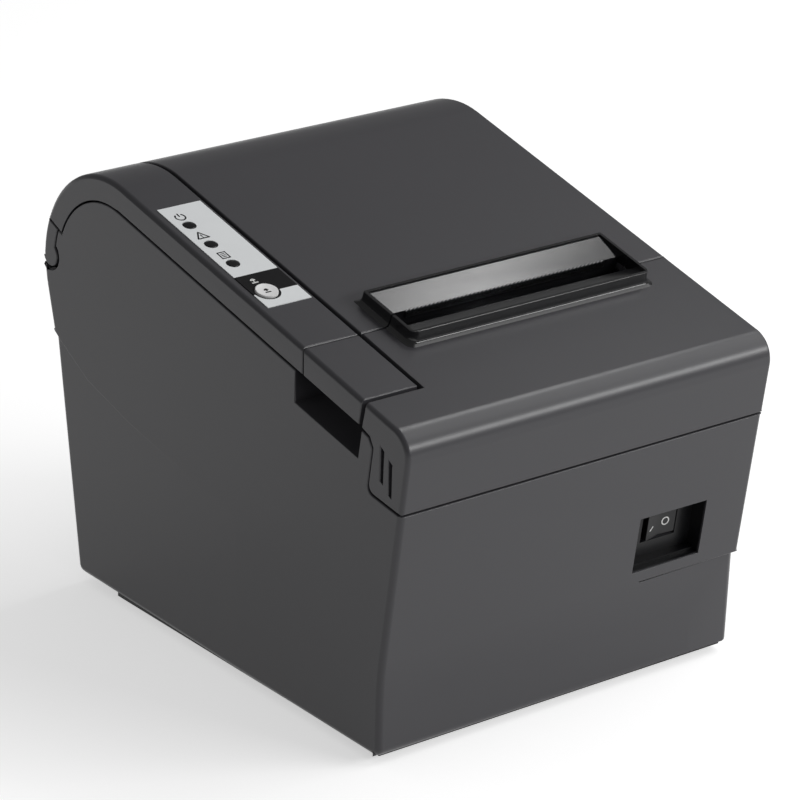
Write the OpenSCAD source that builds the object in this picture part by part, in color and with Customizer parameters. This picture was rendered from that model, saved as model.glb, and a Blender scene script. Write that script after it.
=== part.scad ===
// Receipt printer for a shop counter: drop-in paper roll, hinged roll cover that carries the platen,
// sliding front cover over the cutter, and the electronics under the paper well.
// X runs to the right seen from the front, Y to the back, Z up. The origin is the middle of the footprint.

/* [Body] */
// Width of the body
body_w = 145; // [141:1:160]
// Height of the hump over the paper roll
body_h = 148; // [146:1:154]
// Distance from the middle of the footprint to the foremost and rearmost points
half_depth = 97.5; // [96:0.5:104]
// Radius of the hump at the back
hump_r = 37.5; // [36:0.5:40]
// Radius along the front top edge
front_r = 9; // [9:0.5:12]
// Drop from the top of the hump to the middle of the front top edge's round
front_drop = 43.5; // [42:0.5:45]
// Thickness of the casing walls
wall = 2.5; // [2:0.1:3]
// Depth of the removable caps, measured from the outer skin
cap_depth = 8.4; // [8:0.1:8.8]
// Gap between neighbouring casing pieces
seam = 0.6; // [0.5:0.05:0.8]

/* [Foot] */
// Height of the lower edge of the case above the counter
skirt_z = 4; // [3.5:0.1:5]
// Thickness of the rubber feet
foot_t = 1.8; // [1.5:0.1:2.2]
// Radius of the rubber feet
foot_r = 8; // [6:0.5:10]
// Distance of the lower front wall behind the foremost point
toe_in = 11; // [9.5:0.5:12.5]
// Distance of the lower rear wall before the rearmost point
heel_in = 17.5; // [15.5:0.5:19.5]

/* [Left strip] */
// Width of the operation panel strip
strip_w = 20.8; // [19:0.1:22]
// Width of the groove beside the strip
groove = 1.4; // [1.2:0.1:2]
// Y of the joint between the roll cover and the front cover
split_y = -45.8; // [-47:0.1:-45]
// Y of the front end of the release tab
tab_front_y = -76.4; // [-78:0.1:-75]
// Angle on the hump at which the strip ends
strip_end_a = 22.5; // [20:0.5:25]
// Diameter of the feed button
button_d = 7.6; // [6:0.1:9]
// Diameter of the lens windows
led_d = 4.6; // [3:0.1:5]
// Distance between the lens windows
led_pitch = 12.1; // [11:0.1:13]
// Travel of the feed button
button_travel = 1; // [0.6:0.1:1.2]

/* [Paper path] */
// Middle of the paper across the printer
paper_x = 8; // [7:0.5:9]
// Width of the paper
paper_w = 80; // [78:0.5:80]
// Radius of the well that holds the roll
well_r = 44.5; // [42:0.5:45]
// Radius of the platen
platen_r = 7; // [6.5:0.1:7.2]
// Y of the platen axis
platen_y = -38.5; // [-39:0.1:-38]
// Depth of the platen axis below the sloping top
platen_depth = 22.6; // [22.1:0.5:23.1]
// Radius of the platen shaft
shaft_r = 2.5; // [2:0.1:3]
// Running clearance of a shaft in its bore
run = 0.05; // [0.02:0.01:0.08]
// Height of the raised frame round the paper exit
rim_h = 4.4; // [3.5:0.1:5]

/* [Gears] */
// Module of the feed gears
gear_m = 0.7; // [0.7:0.05:0.75]
// Teeth of the platen gear
platen_teeth = 17; // [15:1:17]
// Teeth of the idler gear
idler_teeth = 34; // [33:1:35]
// Teeth of the motor pinion
pinion_teeth = 12; // [11:1:13]
// Module of the cutter pinion and rack
rack_m = 0.8; // [0.7:0.05:0.85]
// Teeth of the cutter pinion
cutter_teeth = 10; // [9:1:11]

/* [Hinge] */
// Radius of the hinge barrel at the back of the roll cover
barrel_r = 4; // [3.5:0.1:4.2]
// Radius of the hinge pins
pin_r = 1.5; // [1.2:0.1:2]

/* [Power switch] */
// Middle of the switch recess across the front
switch_x = 40.2; // [38:0.1:42]
// Width of the switch recess
recess_w = 27.6; // [24:0.1:30]
// Lower edge of the switch recess
recess_z0 = 39.8; // [38:0.1:41]
// Upper edge of the switch recess
recess_z1 = 59.2; // [58:0.1:61]
// Width of the rocker
rocker_w = 12.8; // [11:0.1:14]
// Height of the rocker
rocker_h = 11.6; // [10:0.1:12]

/* [Hidden] */

hw = body_w / 2;
toe_y = half_depth - toe_in;
heel_y = half_depth - heel_in;
front_round_z = body_h - front_drop;
inner_x = hw - wall;
strip_x = strip_w - hw;
cover_x = strip_x + groove;
big = 400;
eps = 0.01;
fit = 0.3;

// The wall behind the hump bends in towards the heel
bend_r = 12;
bend_a = -31;
// The side outline is a loop of circles joined by tangent lines: [y, z, r]. A negative r bends inwards.
hump_c = [half_depth - hump_r, body_h - hump_r];
ring = [
  [-toe_y + 3, skirt_z + 3, 3],
  [heel_y - 3, skirt_z + 3, 3],
  [hump_c[0] + (hump_r + bend_r + 2) * cos(bend_a), hump_c[1] + (hump_r + bend_r + 2) * sin(bend_a), -bend_r],
  [hump_c[0], hump_c[1], hump_r],
  [-half_depth + front_r, front_round_z, front_r],
  [-toe_y - 100, skirt_z + 17, -100]
];
function turned(a) = a > 180 ? a - 360 : a;
// Outward normal of the tangent line from one circle to the next
function tangent_a(a, b) =
  atan2(b[1] - a[1], b[0] - a[0]) - acos((a[2] - b[2]) / norm([b[0] - a[0], b[1] - a[1]]));
function ring_at(i) = ring[(i + len(ring)) % len(ring)];
function arc_points(c, r, a0, a1) =
  let (n = max(1, ceil(abs(a1 - a0) / 4)))
  [for (i = [0:n]) let (a = a0 + (a1 - a0) * i / n) [c[0] + r * cos(a), c[1] + r * sin(a)]];
// The outline, moved inwards by off
function outline(off) = [for (i = [0:len(ring) - 1])
  let (
    a0 = tangent_a(ring_at(i - 1), ring_at(i)),
    a1 = a0 + turned((tangent_a(ring_at(i), ring_at(i + 1)) - a0 + 720) % 360)
  )
  each arc_points(ring[i], ring[i][2] - off, a0, a1)];

// Height of the sloping top at a given y
top_a = tangent_a(ring[3], ring[4]);
top_p = [hump_c[0] + hump_r * cos(top_a), hump_c[1] + hump_r * sin(top_a)];
top_slope = turned((top_a - 90 + 720) % 360);
function top_z(y) = top_p[1] + tan(top_slope) * (y - top_p[0]);
platen_z = top_z(platen_y) - platen_depth;

// Colours
casing = [0.27, 0.27, 0.28];
dark = [0.13, 0.13, 0.14];
steel = [0.72, 0.73, 0.75];

// Lays a flat outline drawn in y and z across the printer from x0 to x1
module across(x0, x1) translate([x0, 0, 0]) rotate([90, 0, 90]) linear_extrude(x1 - x0) children();
// Places children on the sloping top: x, distance up the slope, distance above the skin
module on_top() translate([0, 0, top_z(0)]) rotate([top_slope, 0, 0]) children();
module rod(r, x0, x1) translate([x0, 0, 0]) rotate([0, 90, 0]) cylinder(r = r, h = x1 - x0, $fn = 64);
module at(y, z) translate([0, y, z]) children();
module both_sides() {
  children();
  mirror([1, 0, 0]) children();
}
module block(x, y, z) translate([x[0], y[0], z[0]]) cube([x[1] - x[0], y[1] - y[0], z[1] - z[0]]);

// ---- Side outlines of the casing pieces, drawn in y and z ----

hinge_y = half_depth - barrel_r;
hinge_z = hump_c[1] + 2;
bar_t = 6.2;
cap_wall = 2.2;
end_gap_a = 0.9;

module skin2d(off = 0) polygon(outline(off));
// Everything above the cap line, from y0 back to a ray from the middle of the hump
module cap_zone2d(y0, end_a) polygon([[y0, hump_c[1] - 20], [hump_c[0], hump_c[1] - 20], hump_c,
  [hump_c[0] + 99 * cos(end_a), hump_c[1] + 99 * sin(end_a)], [hump_c[0] + 99, big], [y0, big]]);
module band2d(y0, end_a = strip_end_a + end_gap_a) intersection() {
  difference() {
    skin2d();
    skin2d(cap_depth);
  }
  cap_zone2d(y0, end_a);
}
// The bar at the back of the roll cover, round the hinge axis
module bar2d(grow = 0, lift = 0) {
  translate([hinge_y, hinge_z]) circle(r = barrel_r + 2 * grow, $fn = 64);
  intersection() {
    difference() {
      skin2d();
      skin2d(bar_t + grow);
    }
    polygon([hump_c, [hump_c[0] + 99, hinge_z],
      [hump_c[0] + 99 * cos(strip_end_a + lift), hump_c[1] + 99 * sin(strip_end_a + lift)]]);
  }
}
// The front cover's side: its seam rises to the back and turns up behind the grip slots
front_z = front_round_z - 19.9;
front_back_y = -79;
turn_r = 3;
tab_lean = 2;
module front2d(gap = 0) translate([gap, -gap]) polygon(concat(
  [[-2 * half_depth, front_z - 14]],
  arc_points([front_back_y - turn_r, front_z + 5.6 + turn_r / 2], turn_r, -80, 0),
  [[front_back_y - 1.8, front_z + 19], [front_back_y, front_z + 22.2],
   [tab_front_y - seam + tab_lean, top_z(tab_front_y) - cap_depth],
   [tab_front_y - seam, top_z(tab_front_y) + 1],
   [tab_front_y - seam, big], [-2 * half_depth, big]]));
module before2d(y) polygon([[-2 * half_depth, 0], [y, 0], [y, big], [-2 * half_depth, big]]);
// The hollow that a finger reaches into under the release tab
hollow_y = [tab_front_y + 1, tab_front_y + 2.7, split_y + 4];
hollow_h = 19.5;
module recess2d(grow = 0) polygon([[hollow_y[2] + grow, top_z(hollow_y[2]) - hollow_h - grow],
  [hollow_y[1] - grow, top_z(hollow_y[1]) - hollow_h - grow], [hollow_y[0] - grow, top_z(hollow_y[0]) - 8.9],
  [hollow_y[0] - grow, top_z(hollow_y[0])], [hollow_y[2] + grow, top_z(hollow_y[2])]]);

module case2d() difference() {
  skin2d();
  difference() {
    cap_zone2d(tab_front_y - 3, strip_end_a);
    skin2d(cap_depth + seam);
  }
  bar2d(seam);
  front2d();
  front2d(seam);
}

// ---- Main case ----

recess_d = 12.5;
pocket_t = 1.5;
port_y = 63;
port_w = 120;
// The connector recess ends below the well that holds the roll
well_t = 1.5;
well_c = [half_depth - 54, hump_c[1] - 16.5];
port_h = well_c[1] - well_r - well_t - 6;
boss_r = 4;
boss_x = hw - 10.5;
boss_y = [10.5 - toe_y, heel_y - 32];
boss_at = [[-boss_x, boss_y[0]], [boss_x, boss_y[0]], [-boss_x, boss_y[1]], [boss_x, boss_y[1]]];
screw_r = 1.5;
switch_depth = 6;
lug_w = 6;
lug_x = [12.5 - hw, hw - 12.5 - lug_w];
pin_x = strip_x - 2.4;
pin_h = -5.2;
tab_pin_r = 1.25;
lug_s = [-73.4, -55.6];
lug_t = 3;
// The tab's finger reaches right to the latch tail, which ends at tail_x
tail_x = strip_x + 7.2;
finger_s = [-77, -74.8];
finger_h = -12.6;

// Stands a block on the front wall's slope: x, height, depth behind the skin
front_n = tangent_a(ring[4], ring[5]);
front_a = (front_n + 720) % 360 - 180;
front_p = [ring[4][0] + front_r * cos(front_n), ring[4][1] + front_r * sin(front_n)];
module on_front() at(front_p[0], front_p[1]) rotate([front_a, 0, 0]) children();
function on_front_z(z) = (z - front_p[1]) / cos(front_a);
mouth_z0 = on_front_z(recess_z0);
mouth_z1 = on_front_z(recess_z1);
rocker_z = on_front_z(52.6);

module main_case() color(casing) difference() {
  union() {
    difference() {
      across(-hw, hw) case2d();
      across(-inner_x, inner_x) skin2d(wall);
      block([-inner_x, inner_x], [-toe_y + wall, heel_y - wall], [0, skirt_z + 2 * wall]);
      across(-hw - 1, -hw + wall + 1) recess2d();
    }
    across(-hw + 1, -hw + recess_d + pocket_t) difference() {
      intersection() {
        recess2d(pocket_t);
        skin2d(cap_depth + seam + 0.1);
      }
      recess2d();
    }
    across(-hw + recess_d, -hw + recess_d + pocket_t) intersection() {
      recess2d(pocket_t);
      skin2d(cap_depth + seam + 0.1);
    }
    tab_lugs();
    switch_pocket();
    port_recess();
    for (p = boss_at) translate([p[0], p[1], skirt_z]) cylinder(r = boss_r, h = 22, $fn = 48);
    both_sides() for (p = [boss_at[1], boss_at[3]])
      block([p[0], inner_x + 1], [p[1] - 1.5, p[1] + 1.5], [skirt_z, skirt_z + 22]);
    for (x = lug_x) across(x, x + lug_w) hinge_lug2d();
    both_sides() {
      block([inner_x - 6, inner_x - 0.5], [-88, -62], [ledge_z - 2, ledge_z]);
      block([inner_x - 1, inner_x + 1], [-77.5, -62], [ledge_z - 2, ledge_z]);
    }
  }
  for (p = boss_at) translate([p[0], p[1], skirt_z - 1]) cylinder(r = screw_r, h = 12, $fn = 32);
  for (x = lug_x) at(hinge_y, hinge_z) rod(pin_r, x - 1, x + lug_w + 1);
  for (s = lug_s) on_top() translate([pin_x, s - 1, pin_h]) rotate([-90, 0, 0])
    cylinder(r = tab_pin_r, h = lug_t + 2, $fn = 48);
  switch_mouth();
  port_mouth();
  lower_sides();
}

ledge_z = front_z + 3.4;
// Two lugs over the finger recess carry the release tab's pin
module tab_lugs() on_top() for (s = lug_s) {
  block([-hw + recess_d + 0.5, pin_x + 1.8], [s, s + lug_t], [-14, pin_h]);
  translate([pin_x, s, pin_h]) rotate([-90, 0, 0]) cylinder(r = 2.4, h = lug_t, $fn = 48);
}
module hinge_lug2d() {
  translate([hinge_y, hinge_z]) circle(r = barrel_r - 0.4, $fn = 48);
  polygon([[hinge_y - 3.4, hinge_z], [hinge_y + 1, hinge_z - 3], [hinge_y + 1.2, hinge_z - 14],
    [hinge_y - 4.4, hinge_z - 24], [hinge_y - 5.5, hinge_z - 8]]);
}
module switch_pocket() on_front() block(
  [switch_x - recess_w / 2 - pocket_t, switch_x + recess_w / 2 + pocket_t],
  [1, switch_depth + pocket_t], [mouth_z0 - pocket_t, mouth_z1 + pocket_t]);
module switch_mouth() on_front() {
  block([switch_x - recess_w / 2, switch_x + recess_w / 2], [-4, switch_depth], [mouth_z0, mouth_z1]);
  block([switch_x - rocker_w / 2 - rocker_gap, switch_x + rocker_w / 2 + rocker_gap],
    [0, switch_depth + pocket_t + 1],
    [rocker_z - rocker_h / 2 - rocker_gap, rocker_z + rocker_h / 2 + rocker_gap]);
}
rocker_gap = 0.8;
// Recess at the back for the connectors
module port_recess() difference() {
  block([-port_w / 2 - pocket_t, port_w / 2 + pocket_t], [port_y, heel_y + 3], [skirt_z, port_h + pocket_t]);
  block([-port_w / 2, port_w / 2], [port_y - 1, heel_y + 9], [0, port_h]);
}
module port_mouth() block([-port_w / 2, port_w / 2], [port_y, heel_y + 20], [0, port_h]);

// The left wall draws in behind a rising crease; the front and right walls draw in under a lip
crease_y = -12;
crease_z = 56;
crease_a = 0.55;
lip_z = 35.6;
lip_x = 30;
lip_out = 1.05;
lip_a = 2.6;
side_in = 1.05;
module lower_sides() {
  translate([-hw, crease_y, 0]) rotate([0, 0, -crease_a]) translate([-20, 0, 0]) rotate([90, 0, 90])
    linear_extrude(20) polygon([[0, -1], [0, crease_z], [60, crease_z + 12], [84, crease_z + 19],
      [100, crease_z + 28], [112, crease_z + 36], [130, crease_z + 36], [130, -1]]);
  translate([0, 0, -1]) linear_extrude(lip_z + 1) polygon([[lip_x, -big], [lip_x, -toe_y - lip_out],
    [hw - side_in, -toe_y - lip_out + (hw - side_in - lip_x) * tan(lip_a)], [hw - side_in, big],
    [big, big], [big, -big]]);
}

// ---- Operation panel ----

board_t = 1.6;
panel_board_h = -8.2;
button_s = -15.9;
led_x = 7.7 - hw;
button_x = 8.2 - hw;
led_s = button_s + 17.6;

module operation_panel() color(casing) difference() {
  across(-hw, strip_x) band2d(split_y + seam);
  across(-hw + cap_wall, strip_x - cap_wall) intersection() {
    skin2d(cap_wall);
    cap_zone2d(split_y + seam + cap_wall, strip_end_a - 3);
  }
  panel_holes(0.2);
}
module panel_holes(clear = 0) on_top() {
  for (i = [0:2]) translate([led_x, led_s + i * led_pitch, -4]) cylinder(d = led_d, h = 8, $fn = 48);
  translate([button_x, button_s, -4]) cylinder(d = button_d + 2 * clear, h = 8, $fn = 64);
}
label_t = 0.25;
// Parts that lie on the sloping top stand this far off it
seat_gap = 0.01;
module panel_label() color([0.85, 0.86, 0.87]) difference() {
  on_top() block([-hw + 3.1, strip_x - 1.2], [button_s - 8, button_s + 53.3],
    [seat_gap, label_t]);
  panel_holes(0.3);
}
module status_lenses() color([0.75, 0.78, 0.75]) on_top() for (i = [0:2])
  translate([led_x, led_s + i * led_pitch, 0]) {
    translate([0, 0, panel_board_h + board_t])
      cylinder(d = led_d - 0.2, h = -panel_board_h - board_t, $fn = 48);
    translate([0, 0, -cap_wall - 1]) cylinder(d = led_d + 1.6, h = 1, $fn = 48);
  }
module feed_button() color([0.93, 0.93, 0.93]) on_top() translate([button_x, button_s, 0]) {
  translate([0, 0, -cap_wall - 1.2]) cylinder(d = button_d - 0.2, h = cap_wall + 2, $fn = 64);
  translate([0, 0, -cap_wall - 1.2]) cylinder(d = button_d + 2, h = 1.1, $fn = 64);
}
module panel_board() color([0.1, 0.35, 0.2]) on_top() {
  block([-hw + 3, strip_x - 3], [-32, 36], [panel_board_h, panel_board_h + board_t]);
  for (s = [-29, 33]) translate([led_x + 2.8, s, panel_board_h + board_t - eps])
    cylinder(d = 5, h = -cap_wall - panel_board_h - board_t + eps, $fn = 48);
}
module tact_switch() color(dark) on_top() translate([button_x, button_s, panel_board_h + board_t]) {
  translate([-3, -3, 0]) cube([6, 6, 1.6]);
  cylinder(d = 3, h = -cap_wall - 1.2 - button_travel - 0.15 - panel_board_h - board_t, $fn = 48);
}

// ---- Release tab ----

module release_tab() color(casing) {
  difference() {
    across(-hw, strip_x) tab2d();
    across(-hw + cap_wall, strip_x - cap_wall) intersection() {
      skin2d(cap_wall);
      before2d(split_y - cap_wall - seam);
      translate([cap_wall, 0]) tab_front2d();
    }
    on_top() tab_bore(tab_pin_r + fit);
    on_top() for (s = lug_s) block([strip_x - cap_wall - 1, strip_x + 1], [s - 0.6, s + lug_t + 0.6],
      [-cap_depth - 2, pin_h + 2.8]);
  }
  on_top() {
    block([-hw + 1, -hw + 7], [tab_front_y - 0.4, -49.6], [-cap_depth, -cap_depth + 1.6]);
    block([pin_x - 1.4, pin_x + 2.2], finger_s, [finger_h, -cap_wall]);
    block([pin_x, tail_x - 0.5], finger_s, [finger_h, finger_h + 1.6]);
  }
  on_top() for (s = [lug_s[0] + lug_t + 0.4, lug_s[1] - 3.4]) difference() {
    union() {
      translate([pin_x - 2.3, s, pin_h]) cube([4.6, 3, -pin_h - 1]);
      translate([pin_x, s, pin_h]) rotate([-90, 0, 0]) cylinder(r = 2.3, h = 3, $fn = 48);
    }
    tab_bore(tab_pin_r + run);
  }
}
module tab_bore(r) translate([pin_x, lug_s[0] - 1, pin_h]) rotate([-90, 0, 0])
  cylinder(r = r, h = lug_s[1] - lug_s[0] + lug_t + 2, $fn = 48);
module tab_front2d() polygon([[tab_front_y, big], [tab_front_y, top_z(tab_front_y) + 1],
  [tab_front_y + tab_lean, top_z(tab_front_y) - cap_depth - 1], [2, 60], [2, big]]);
module tab2d() intersection() {
  difference() {
    skin2d();
    skin2d(cap_depth);
  }
  before2d(split_y);
  tab_front2d();
}
module tab_pin() color(steel) on_top() translate([pin_x, lug_s[0] - 0.5, pin_h]) rotate([-90, 0, 0])
  cylinder(r = tab_pin_r, h = lug_s[1] - lug_s[0] + lug_t + 0.8, $fn = 48);

// ---- Roll cover and what rides on it ----

cover_front_y = split_y + seam;
exit_x = [paper_x - 48, paper_x + 47.8];
exit_s = [-58, -32.1];
exit_lean = 1.1;
exit_wall = 1.3;
slot_s = [-51, -44.1];
split_s = split_y / cos(top_slope);
hole_side = 1.4;

module roll_cover() color(casing) difference() {
  union() {
    across(cover_x, hw) {
      band2d(cover_front_y, strip_end_a);
      bar2d(0, 2);
    }
    across(-hw, hw) bar2d();
  }
  across(cover_x + cap_wall, hw - cap_wall) intersection() {
    skin2d(cap_wall);
    cap_zone2d(cover_front_y + 1.6, strip_end_a - 3);
  }
  on_top() block([exit_x[0] + hole_side, exit_x[1] - hole_side], [split_s - 2, slot_s[1] + 2], [-9, 1]);
  for (x = lug_x) {
    across(x - 0.4, x + lug_w + 0.4) translate([hinge_y, hinge_z]) circle(r = barrel_r + 1, $fn = 64);
    across(x - 0.4, x + lug_w + 0.4) polygon([[hinge_y - 6, hinge_z - 6], [hinge_y - 6, hinge_z],
      [hinge_y, hinge_z], [hinge_y, hinge_z - 6]]);
  }
  for (x = lug_x) at(hinge_y, hinge_z) rod(pin_r + run, x - 8, x + lug_w + 8);
}
module hinge_pins() color(steel) for (x = lug_x) at(hinge_y, hinge_z) rod(pin_r, x - 7, x + lug_w + 7);

// The raised frame round the exit leans in on all four sides
module exit_frame() on_top() intersection() {
  translate([0, exit_s[0] - 5, 0]) mirror([0, 1, 0]) rotate([90, 0, 0])
    linear_extrude(exit_s[1] - exit_s[0] + 10) polygon([[exit_x[0] - exit_lean, seat_gap],
      [exit_x[1] + exit_lean, seat_gap], [exit_x[1], rim_h], [exit_x[0], rim_h]]);
  across(exit_x[0] - 5, exit_x[1] + 5) polygon([[exit_s[0] - exit_lean, seat_gap],
    [exit_s[1] + exit_lean, seat_gap],
    [exit_s[1], rim_h], [exit_s[0], rim_h]]);
}
module exit_inside(points) on_top() across(exit_x[0] + exit_wall, exit_x[1] - exit_wall) polygon(points);
lip_h = 2.45;
skirt_t = 1.5;
skirt_h = -7;
module rear_exit_guide() color(dark) {
  difference() {
    exit_frame();
    exit_inside([[exit_s[1] - 1.2, big], [exit_s[1] - 1.2, 2.9], [slot_s[1], lip_h], [slot_s[1], -1],
      [slot_s[0] - 20, -1], [slot_s[0] - 20, big]]);
    on_top() block([-big, big], [-big, split_s + seam / 2], [-1, 20]);
  }
  on_top() block([exit_x[0] + 2, exit_x[1] - 2], [slot_s[1], slot_s[1] + skirt_t], [skirt_h, lip_h - 0.3]);
}
module front_exit_guide() color(dark) {
  difference() {
    exit_frame();
    exit_inside([[exit_s[0] + 0.9, big], [exit_s[0] + 0.9, 4.1], [slot_s[0], 2.1], [slot_s[0], -1],
      [slot_s[1] + 20, -1], [slot_s[1] + 20, big]]);
    on_top() block([-big, big], [split_s - seam / 2, big], [-1, 20]);
  }
  on_top() block([exit_x[0] + 2, exit_x[1] - 2], [slot_s[0] - skirt_t, slot_s[0]], [-5, 1.8]);
}
tear_pitch = 1.6;
module tear_bar() color(steel) on_top() translate([paper_x - paper_w / 2, slot_s[1], 0])
  rotate([90, 0, 0]) linear_extrude(0.5) polygon(concat([[0, 0]], [[paper_w, 0]],
    [for (i = [floor(paper_w / tear_pitch):-1:1])
      each [[i * tear_pitch, lip_h - 0.2], [(i - 0.5) * tear_pitch, lip_h + 0.3]]],
    [[0, lip_h - 0.2]]));

// ---- Platen, carried under the roll cover ----

half_p = paper_w / 2;
arm_gap = 0.5;
arm_t = 1.6;
hook_t = 1.5;
side_t = 2;
// Distances from the middle of the paper outwards: arm, hook, side plate, gear
arm_d = half_p + arm_gap;
hook_d = arm_d + arm_t + 0.5;
plate_d = hook_d + hook_t + 1;
gear_d = plate_d + side_t + 1;
gear_w = 4;
bush_r = 4;
blade_h = -9.4;
blade_t = 0.8;
fixed_t = 1;
fixed_h = blade_h - blade_t - 0.3;
cut_s = -48.8;

module platen_holder() color(dark) {
  on_top() block([paper_x - arm_d - arm_t, paper_x + arm_d + arm_t], [-42, -36], [fixed_h, -cap_wall]);
  for (side = [-1, 1]) difference() {
    across(paper_x + side * (arm_d + arm_t / 2) - arm_t / 2,
      paper_x + side * (arm_d + arm_t / 2) + arm_t / 2)
      polygon(concat([[platen_y + 6, top_z(platen_y) - 4], [platen_y - 2, top_z(platen_y) - 8]],
        arc_points([platen_y, platen_z], bush_r + 2, 150, 390)));
    at(platen_y, platen_z) rod(bush_r, paper_x - big, paper_x + big);
  }
}
module platen_bushes() color([0.85, 0.82, 0.74]) for (side = [-1, 1]) at(platen_y, platen_z) difference() {
  rod(bush_r, paper_x + min(side * arm_d, side * (plate_d + side_t)),
    paper_x + max(side * arm_d, side * (plate_d + side_t)));
  rod(shaft_r + run, paper_x - big, paper_x + big);
}
module platen_shaft() color(steel) at(platen_y, platen_z)
  rod(shaft_r, paper_x - plate_d - side_t - 1, paper_x + gear_d + gear_w + 1);
module platen_rubber() color([0.2, 0.2, 0.2]) at(platen_y, platen_z) difference() {
  rod(platen_r, paper_x - half_p, paper_x + half_p);
  rod(shaft_r, paper_x - big, paper_x + big);
}
// A gear with straight-sided teeth; phase turns it
module gear2d(teeth, m, phase) {
  r = teeth * m / 2;
  polygon([for (i = [0:teeth - 1]) for (k = [[-0.30, -1.1], [-0.11, 0.75], [0.11, 0.75], [0.30, -1.1]])
    let (a = phase + 360 * (i + k[0]) / teeth, q = r + k[1] * m) [q * cos(a), q * sin(a)]]);
}
function pitch_r(teeth) = teeth * gear_m / 2;
module gear(teeth, phase, bore, x0, w) difference() {
  across(x0, x0 + w) gear2d(teeth, gear_m, phase);
  rod(bore, x0 - 1, x0 + w + 1);
}
gear_x = paper_x + gear_d;
// The roll cover lifts the platen gear straight off the idler, so the idler lies on that line
idler_a = atan2(platen_y - hinge_y, hinge_z - platen_z);
mesh_gap = 0.1;
idler_d = pitch_r(platen_teeth) + pitch_r(idler_teeth) + mesh_gap;
idler_c = [platen_y + idler_d * cos(idler_a), platen_z + idler_d * sin(idler_a)];
motor_a = 240;
motor_d = pitch_r(idler_teeth) + pitch_r(pinion_teeth) + mesh_gap;
motor_c = [idler_c[0] + motor_d * cos(motor_a), idler_c[1] + motor_d * sin(motor_a)];
idler_phase = idler_a + 180;
pinion_phase = motor_a + 180 + 180 / pinion_teeth
  - (idler_phase - motor_a) * idler_teeth / pinion_teeth;
module platen_gear() color([0.9, 0.9, 0.88]) at(platen_y, platen_z)
  gear(platen_teeth, idler_a + 180 / platen_teeth, shaft_r, gear_x, gear_w);
module idler_gear() color([0.9, 0.9, 0.88]) at(idler_c[0], idler_c[1])
  gear(idler_teeth, idler_phase, 2 + run, gear_x, gear_w);
module idler_pin() color(steel) at(idler_c[0], idler_c[1]) {
  rod(2, paper_x + plate_d + side_t, gear_x + gear_w + 1);
  rod(3, paper_x + plate_d + side_t, gear_x - 0.2);
}
motor_shaft_r = 1.5;
module motor_pinion() color([0.78, 0.66, 0.35]) at(motor_c[0], motor_c[1]) {
  across(gear_x, gear_x + gear_w) gear2d(pinion_teeth, gear_m, pinion_phase);
  rod(motor_shaft_r, paper_x + plate_d - 6, gear_x + gear_w + 1);
}
motor_size = 34;
motor_len = 20;
module feed_motor() color([0.35, 0.36, 0.38]) at(motor_c[0], motor_c[1]) difference() {
  union() {
    block([paper_x + plate_d - motor_len, paper_x + plate_d], [-motor_size / 2, motor_size / 2],
      [-motor_size / 2, motor_size / 2]);
    rod(5.5, paper_x + plate_d - 1, paper_x + plate_d + 1);
  }
  rod(motor_shaft_r + run, paper_x + plate_d - 7, gear_x);
}
module fixed_blade() color([0.8, 0.81, 0.83]) on_top()
  block([paper_x - half_p - 0.3, paper_x + half_p + 0.3], [cut_s, -36], [fixed_h - fixed_t, fixed_h]);

// ---- Front cover ----

run_h = 3;
module cover_front_part2d() intersection() {
  skin2d();
  union() {
    front2d();
    difference() {
      translate([tab_front_y - seam - 1, hump_c[1] - 20]) square([split_y - tab_front_y + seam + 1, 200]);
      skin2d(cap_depth);
    }
  }
}
module front_cover() color(casing) {
  difference() {
    union() {
      across(-hw, cover_x + 1) intersection() {
        skin2d();
        front2d();
      }
      across(cover_x, hw) cover_front_part2d();
    }
    across(-hw + cap_wall, cover_x) intersection() {
      skin2d(cap_wall);
      before2d(tab_front_y + 4);
    }
    across(cover_x - 1, cover_x + cap_wall + 1) intersection() {
      skin2d(cap_wall);
      before2d(tab_front_y - seam);
    }
    across(cover_x + cap_wall, hw - cap_wall) intersection() {
      skin2d(cap_wall);
      before2d(split_y + 5);
    }
    on_top() block([exit_x[0] + hole_side, exit_x[1] - hole_side], [slot_s[0] - 2, split_s + 5], [-9, 1]);
    across(-hw - 1, hw + 1) grip_slots2d();
  }
  both_sides() {
    block([inner_x - 3.5, inner_x - 0.7], [-93, -66], [ledge_z + fit, ledge_z + fit + run_h]);
    block([inner_x - 3.5, inner_x + 0.4], [-93, front_back_y - 3], [ledge_z + fit, ledge_z + fit + run_h]);
  }
}
// Two grip slots in each side, the front one lower
module grip_slots2d() for (k = [0, 1])
  polygon([for (q = [[-5.3, 9.6], [-7, 8.8], [-7, 19.6], [-5.3, 20.7]])
    [front_back_y + q[0] - k * 4.2, front_z + q[1] - k * 3.1]]);

// ---- Base ----

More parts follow.
